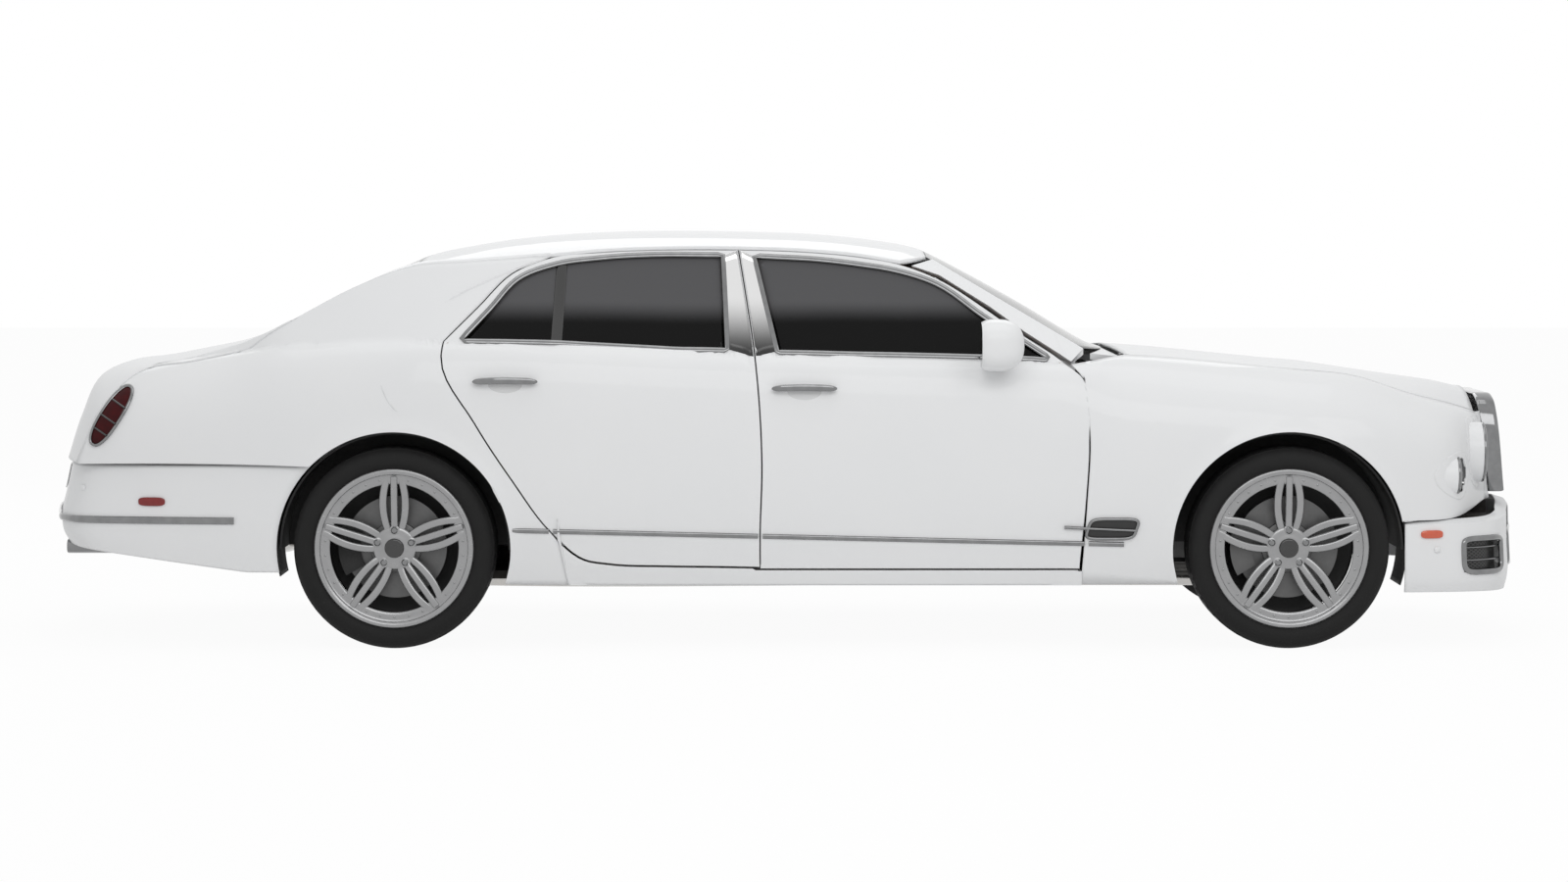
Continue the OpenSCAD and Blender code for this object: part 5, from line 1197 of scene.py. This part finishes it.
def vent_form():
    """Wing vent: a leaning rounded frame with a bar across and a dark panel behind it."""
    form = Form()
    c, s = rounded(around(72), 5.0)
    x = VENT_X + 0.088 * c + 0.012 * s
    z = VENT_Z + 0.036 * s
    form.solid(bar_on_side(np.stack([x, z], axis=-1), 0.013, 0.009, 0.003, True), rows_round=True)
    a = np.linspace(-1, 1, 40)
    bar = np.stack([VENT_X + 0.130 * a - 0.045, VENT_Z - 0.006 * a], axis=-1)
    form.solid(bar_on_side(bar, 0.012, 0.010, 0.003))
    r = np.linspace(0.97, 0.05, 10)[:, None]
    p = np.stack([VENT_X + (x - VENT_X) * r, VENT_Z + (z - VENT_Z) * r], axis=-1)
    q = laid(p)
    q[..., 1] += 0.0025
    return form.solid(np.concatenate([q[:1] - [0, 0.004, 0], q]), mark=1)


def on_ends(x, z):
    """Half width of the bumpers' skins at places in side view, read from their own surfaces."""
    u, t = np.linspace(0, 0.5, 240), np.linspace(0.02, 0.98, 120)
    bumper = FRONT_BUMPER if np.mean(x) > 0 else REAR_BUMPER
    p = bumper.at(u[None, :], t[:, None])
    row = np.argmin(np.abs(p[:, 60, 2][None, :] - z.reshape(-1)[:, None]), axis=1)
    line = p[row]
    near = np.argmin(np.abs(line[..., 0] - x.reshape(-1)[:, None]), axis=1)
    return line[np.arange(len(near)), near, 1].reshape(x.shape)


def marker_form(at, size):
    """Marker: a pill-shaped lens crowned over the bumper's skin."""
    form = Form()
    a = around(48)
    c, s = rounded(a, 3.5)
    r = np.sin(np.linspace(np.pi / 2, 0.06, 9))[:, None]
    x, z = at[0] + size[0] * c * r, at[1] + size[1] * s * r
    knots = np.array([at[0] - size[0], at[0], at[0] + size[0]])
    base = np.interp(x, knots, on_ends(knots, np.full(3, at[1])))
    lift = 0.006 * np.sqrt(np.clip(1 - r ** 2, 0, 1)) - 0.002 * (r > 0.99) + 0.005
    q = np.stack([x, base + lift, z], axis=-1)
    return form.solid(np.concatenate([q[:1] - [0, 0.008, 0], q]))


def cover_material():
    """Post cover: bright metal above, with a painted reflection of a dark ground that goes over to black
    towards its foot.
    """
    m, w, where = fresh("post cover")
    z = w.node("ShaderNodeSeparateXYZ", None, {0: where}, 2)
    # Painted reflection: black low down, bright metal higher up, blended by height
    share = (z + noise(w, where, 6.0) * 0.02).ramp(1.09, 1.30)
    closed_with(w, w.node("ShaderNodeBsdfPrincipled", None, {
        "Base Color": share.between(tone(0.02), tone(0.75)), "Roughness": 0.22 - share * 0.1,
        "Metallic": share * 0.9 + 0.1}))
    return m


POST_COVER_PAINTED_REFLECTION = cover_material()
build_side_trim()
build_posts()
build_plates()


# Lamps, grille and mirrors
def build_lamps():
    """Round headlamps: sleeve, bezel, bowl, rings, optic and clear lens, all turned. Oval tail lamps."""
    form, lens = Form(), Form()
    a = around(16)
    u = np.linspace(1, 0.05, 14)
    b = np.linspace(np.pi / 2, 0.05, 9)
    for lamp in (INNER_LAMP, OUTER_LAMP):
        at, r = lamp_place(lamp)
        sleeve = [[r + 0.001, -0.15], [r + 0.001, -0.004], [r - 0.004, 0.0], [r - 0.008, -0.004],
                  [r - 0.008, -0.15]]
        form.solid(turned_x(sleeve, at), rows_round=True, mark=1)
        bezel = np.stack([r - 0.008 + 0.0095 * np.cos(a), 0.002 + 0.008 * np.sin(a)], axis=-1)
        form.solid(turned_x(bezel, at), rows_round=True)
        bowl = np.stack([(r - 0.012) * u, -0.075 * (1 - u ** 2) - 0.004], axis=-1)
        form.solid(turned_x(np.concatenate([[[r - 0.012, -0.092]], bowl]), at), mark=3)
        for share, wide, mark in ((0.72, 0.006, 2), (0.42, 0.007, 0)):
            ring = np.stack([r * share + wide * np.cos(a), -0.022 + wide * np.sin(a)], axis=-1)
            form.solid(turned_x(ring, at), rows_round=True, mark=mark)
        dome = np.stack([r * 0.38 * np.sin(b), -0.034 + r * 0.20 * np.cos(b)], axis=-1)
        form.solid(turned_x(dome, at), mark=4)
        cover = np.stack([(r - 0.008) * np.sin(b), 0.003 + 0.015 * np.cos(b)], axis=-1)
        lens.grid(turned_x(cover, at), False, True, pole=True)
    finishes = [CHROME, PAINT, WHITE_LAMP, STEEL, GLOSS_BLACK]
    form.pair("headlamps_{}", "body", finishes, "headlamps", "lamp_clear")
    lens.pair("headlamp_lenses_{}", "body", [CLEAR], "", "lamp_clear", thick=0.002)
    tail_form().pair("tail_lamp_{}", "body", [RED, CHROME, GLOSS_BLACK], "tail_lamps", "lamp_red")


TAIL_MIDDLE = np.array([float(sx(-0.765)), 0.56 * HEIGHT])
TAIL_ALONG, TAIL_OVER = np.array([-0.53, -0.848]), np.array([0.848, -0.53])
TAIL_LONG, TAIL_SHORT = 0.124, 0.037


def tail_at(a, r):
    """Places of the slanted oval lamp at an angle and a share of its radius."""
    c, s = rounded(a, 2.3)
    down, across = TAIL_LONG * (r * c)[..., None], TAIL_SHORT * (r * s)[..., None]
    return TAIL_MIDDLE + down * TAIL_ALONG + across * TAIL_OVER


def tail_form():
    """Tail lamp: a crowned red lens, a chrome bezel round it and dark bars across it."""
    form = Form()
    a = around(72)
    r = np.sin(np.linspace(np.pi / 2, 0.04, 14))[:, None]
    q = laid(tail_at(np.broadcast_to(a, (14, 72)), np.broadcast_to(r, (14, 72)) * 0.96))
    q[..., 1] += 0.002 + 0.009 * np.sqrt(np.clip(1 - r ** 2, 0, 1))
    form.solid(np.concatenate([q[:1] - [0, 0.006, 0], q]))
    form.solid(bar_on_side(tail_at(a, np.ones(72)), 0.012, 0.009, 0.003, True), rows_round=True, mark=1)
    for share in (-0.42, 0.12, 0.55):
        v = np.linspace(-0.92, 0.92, 16)
        wide = 0.036 * np.sqrt(1 - share ** 2)
        path = TAIL_MIDDLE + TAIL_LONG * share * TAIL_ALONG + (v * wide)[:, None] * TAIL_OVER
        form.solid(bar_on_side(path, 0.007, 0.004, 0.010), mark=2)
    return form


GRILLE_LEAN = math.radians(6)
GRILLE = [[-0.337, 0.013], [0.337, 0.013], [0.337, 0.300], [0.318, 0.330], [0.262, 0.354], [0.14, 0.359],
          [0, 0.360], [-0.14, 0.359], [-0.262, 0.354], [-0.318, 0.330], [-0.337, 0.300]]


def stand(y, z, x):
    """Places across, up and forward of the grille's foot, leant back and set on the nose."""
    y, z, x = np.broadcast_arrays(y, z, x)
    c, s = math.cos(GRILLE_LEAN), math.sin(GRILLE_LEAN)
    return np.stack([2.7195 + x * c - z * s, y, 0.540 + z * c], axis=-1)


def build_grille():
    """Upright grille: a chrome shell swept round its outline, slim upright bars and a dark lattice behind."""
    outline = smooth(GRILLE, [0, 1], 8)
    c, s = rounded(around(24), 4.0)
    t = along(outline, True)
    n = np.stack([t[:, 1], -t[:, 0]], axis=-1)
    y = outline[:, 0][:, None] + 0.013 * n[:, 0][:, None] * c
    z = outline[:, 1][:, None] + 0.013 * n[:, 1][:, None] * c
    form = Form().solid(stand(y, z, -0.035 + 0.035 * s), rows_round=True)
    for yy in np.linspace(-0.31, 0.31, 32):
        top = 0.345 - 0.03 * (abs(yy) / 0.31) ** 6
        zz = np.linspace(0.02, top, 12)
        form.solid(tube(stand(yy, zz, -0.030), 0.005, 0.018, (1, 0, 0), n=10))
    form.solid(tube(stand(0.0, np.linspace(0, 0.352, 16), -0.022), 0.016, 0.030, (1, 0, 0)))
    back = stand(np.linspace(-0.335, 0.335, 20)[None, :], np.linspace(0.012, 0.345, 12)[:, None], -0.060)
    form.grid(back, mark=1)
    form.build("grille_shell", "body", [CHROME, MESH], ["grille"], "chrome")


MIRROR = (0.766, 1.006, 1.1134)
MIRROR_DEEP, MIRROR_WIDE, MIRROR_HIGH = 0.105, 0.103, 0.093


def build_mirrors():
    """Mirrors: a housing round in front and flat behind, its glass, an indicator strip and a foot."""
    u = np.linspace(-np.pi / 2 + 0.01, np.pi / 2 - 0.01, 33)[:, None]
    v = around(48)[None, :]
    cu, su = rounded(u, 2.6)
    c, s = rounded(v, 2.8)
    mx, my, mz = MIRROR
    x = np.where(su > 0, MIRROR_DEEP * su, 0.050 * np.clip(su * 1.6, -1, 0))
    tall = MIRROR_HIGH * s * (1 - 0.12 * c)
    shell = (mx + x, my + MIRROR_WIDE * cu * c - 0.02 * np.clip(x, 0, 1), mz + cu * tall)
    form = Form().solid(np.stack(np.broadcast_arrays(*shell), axis=-1))
    r = np.linspace(0.86, 0.05, 8)[:, None]
    pane = (mx - 0.0505, my + MIRROR_WIDE * r * c, mz + r * tall)
    glass = np.stack(np.broadcast_arrays(*pane), axis=-1)
    form.solid(np.concatenate([glass[:1] + [0.004, 0, 0], glass]), mark=1)
    a = np.linspace(-1.25, 0.55, 30)
    ex = mx + 0.030 + 0.060 * np.cos(a) * 0.9
    ey = my + 0.1015 * np.sqrt(np.clip(1 - np.clip((ex - mx) / MIRROR_DEEP, -1, 1) ** 2, 0.02, 1))
    edge = np.stack([ex, ey, np.full(30, mz - 0.012)], axis=-1)
    form.solid(tube(edge, 0.014, 0.008, (0.3, 1, 0)), mark=2)
    p = np.linspace(0, 1, 14)[:, None]
    y0 = side_y(mx, 1.045) - 0.006
    foot = (mx + (0.042 - 0.010 * p) * np.cos(v), y0 + p * (0.925 - y0),
            1.052 + 0.030 * p ** 2 + (0.020 - 0.003 * p) * np.sin(v))
    form.solid(np.stack(np.broadcast_arrays(*foot), axis=-1), mark=3)
    finishes = [PAINT, CHROME, WHITE_LAMP, PAINT]
    form.pair("mirror_{}_housing", "front_door_{}", finishes, "mirror_{}", "paint")


build_lamps()
build_grille()
build_mirrors()


# Cabin
def cushion_form(mid, half, lean, channels, n=4.5):
    """A stuffed form: a rounded box whose broad face swells and dips in channels, leant back about Y."""
    u = np.linspace(-np.pi / 2 + 0.01, np.pi / 2 - 0.01, 49)[:, None]
    v = around(96)[None, :]
    cu, su = rounded(u, n)
    c, s = rounded(v, n)
    a, b, d = su + 0 * c, cu * c, cu * s
    swell = 1 + 0.16 * np.clip(1 - a ** 2, 0, 1) * np.clip(1 - b ** 2, 0, 1)
    sewn = (np.abs(b) < 0.86) & (np.abs(a) < 0.80)
    groove = np.exp(-(np.sin(np.pi * channels * (b + 1) / 2) / 0.22) ** 2) * sewn
    lift = np.where(d > 0, d * swell - 0.14 * groove * (d > 0.4), d)
    p = np.stack([half[0] * a, half[1] * b, half[2] * lift], axis=-1)
    turn = math.radians(lean)
    x = p[..., 0] * math.cos(turn) + p[..., 2] * math.sin(turn)
    z = -p[..., 0] * math.sin(turn) + p[..., 2] * math.cos(turn)
    return Form().solid(np.stack([mid[0] + x, mid[1] + p[..., 1], mid[2] + z], axis=-1))


def build_seats():
    """Two front seats and a rear bench: channelled cushions and backs, head rests, plain bases."""
    rows = (("front_seats", 0.2105, 0.26, (-0.38, 0.38), 7), ("rear_seat", -0.852, 0.565, (0.0,), 15))
    for node, x, half, places, channels in rows:
        for k, y in enumerate(places):
            seat = cushion_form((x + 0.255, y, 0.540), (0.262, half, 0.070), -4, channels)
            back = cushion_form((x - 0.150, y, 0.850), (0.300, half * 0.97, 0.070), -70, channels)
            for name, form in (("cushion", seat), ("back", back)):
                piece = form.build(f"{node}_{name}_{k}", "body", [LEATHER], [node], "leather", sharp=60)
            heads = (0.0,) if half < 0.4 else (-0.3, 0.3)
            for j, off in enumerate(heads):
                head = cushion_form((x - 0.268, y + off, 1.215), (0.085, 0.130, 0.052), -74, 2)
                piece = head.build(f"{node}_head_{k}_{j}", "body", [LEATHER], (), "leather", sharp=60)
            base = Form().solid(block((x + 0.05, y - half * 0.8, 0.264), (x + 0.45, y + half * 0.8, 0.490)))
            base.build(f"{node}_base_{k}", "body", [PIPING], (), "plastic")


DASH = [[1.155, 0.64], [0.90, 0.63], [0.86, 0.70], [0.845, 0.80], [0.838, 0.90], [0.85, 0.965],
        [0.89, 0.995], [0.98, 1.003], [1.155, 1.000]]
DIAL = [[0.004, 0.012], [0.036, 0.010], [0.040, 0.0], [0.036, -0.02]]
COLUMN_FOOT = np.array([0.91355, 0.38, 0.889785])
COLUMN_LONG = 0.33
COLUMN_WAY = np.array([-0.913545, 0.0, 0.406737])
COLUMN_UP = np.array([0.406737, 0.0, 0.913545])


def build_dash():
    """Dashboard: a dark leather profile swept across the cabin, with veneer panels and turned dials."""
    profile = smooth(DASH, [0, 8], 5)
    y = np.linspace(-0.69, 0.69, 30)[:, None]
    form = Form().solid(np.stack(np.broadcast_arrays(profile[:, 0], y, profile[:, 1]), axis=-1))
    form.solid(block((0.826, -0.66, 0.83), (0.85, 0.12, 0.90)), mark=1)
    form.solid(block((0.826, 0.60, 0.83), (0.85, 0.66, 0.90)), mark=1)
    for yy in (-0.55, -0.12, 0.08):
        form.solid(turned_x(DIAL, (0.818, yy, 0.935), 40), mark=2)
    form.build("dashboard_trim", "body", [PIPING, WOOD, CHROME], ["dashboard"], "plastic")


def build_steering_wheel():
    """Steering wheel: a round rim, three spokes and a hub on a column, all swept ovals."""
    way, up, out = COLUMN_WAY, COLUMN_UP, np.array([0.0, 1.0, 0.0])
    hub = COLUMN_FOOT + COLUMN_LONG * way
    a = around(96)
    ring = hub + 0.175 * (np.cos(a)[:, None] * out + np.sin(a)[:, None] * up)
    wheel = Form().solid(tube(ring, 0.030, 0.030, way, True), rows_round=True)
    for angle in (0.0, np.pi, -np.pi / 2):
        way_out = np.cos(angle) * out + np.sin(angle) * up
        wheel.solid(tube(hub + np.linspace(0.03, 0.168, 10)[:, None] * way_out, 0.034, 0.016, way), mark=1)
    wheel.solid(tube(hub + np.linspace(-0.016, 0.02, 6)[:, None] * way, 0.13, 0.13, up, n=40))
    column = COLUMN_FOOT + np.linspace(0, COLUMN_LONG, 6)[:, None] * way
    wheel.solid(tube(column, 0.039, 0.039, up, n=28), mark=1)
    wheel.build("steering_wheel_rim", "steering_wheel", [PIPING, GLOSS_BLACK], ["steering_wheel"], "plastic")


build_seats()
build_dash()
build_steering_wheel()


# Exhaust
PIPE = [[1.61, 0.2027], [0.4, 0.2027], [-1.2, 0.2027], [-1.62, 0.215], [-1.78, 0.30], [-1.86, 0.35]]
TIP = [[1.0, -2.44], [1.0, -2.61], [1.0, -2.655], [0.97, -2.660], [0.92, -2.655], [0.90, -2.61],
       [0.90, -2.44]]


def build_exhaust():
    """Two pipes that rise to a silencer behind the bumper, and two flat oval tips with open mouths."""
    form = Form()
    for sign in (-1, 1):
        line = smooth(PIPE, (), 10, False)
        path = np.stack([line[:, 0], np.full(len(line), sign * 0.19), line[:, 1]], axis=-1)
        form.solid(tube(path, 0.060, 0.060, (0, 1, 0), n=24))
        c, s = rounded(around(40), 2.8)
        size, x = np.hsplit(np.array(TIP), 2)
        tip = np.broadcast_arrays(x, sign * 0.6 + 0.0595 * size * c, 0.356 + 0.0275 * size * s)
        form.solid(np.stack(tip, axis=-1), rows_round=True, mark=1)
    form.solid(block((-2.24, -0.38, 0.295), (-1.83, 0.38, 0.425), 4.0))
    form.build("exhaust_run", "body", [STEEL, CHROME], ["exhaust"], "exhaust")


build_exhaust()


# Bare frame nodes that stay in view take their materials
SHOWN = {
    "floor_pan": CARPET, "side_frame_left": PAINT, "side_frame_right": PAINT, "cowl": PAINT,
    "wheelhouses": CHASSIS, "engine_block": DARK_METAL, "front_subframe": CHASSIS, "rear_subframe": CHASSIS,
    "hinge_leaves": DARK_METAL, "knuckle_left": DARK_METAL, "knuckle_right": DARK_METAL}
for node, look in SHOWN.items():
    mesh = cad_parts[node].data
    mesh.materials.clear()
    mesh.materials.append(look)
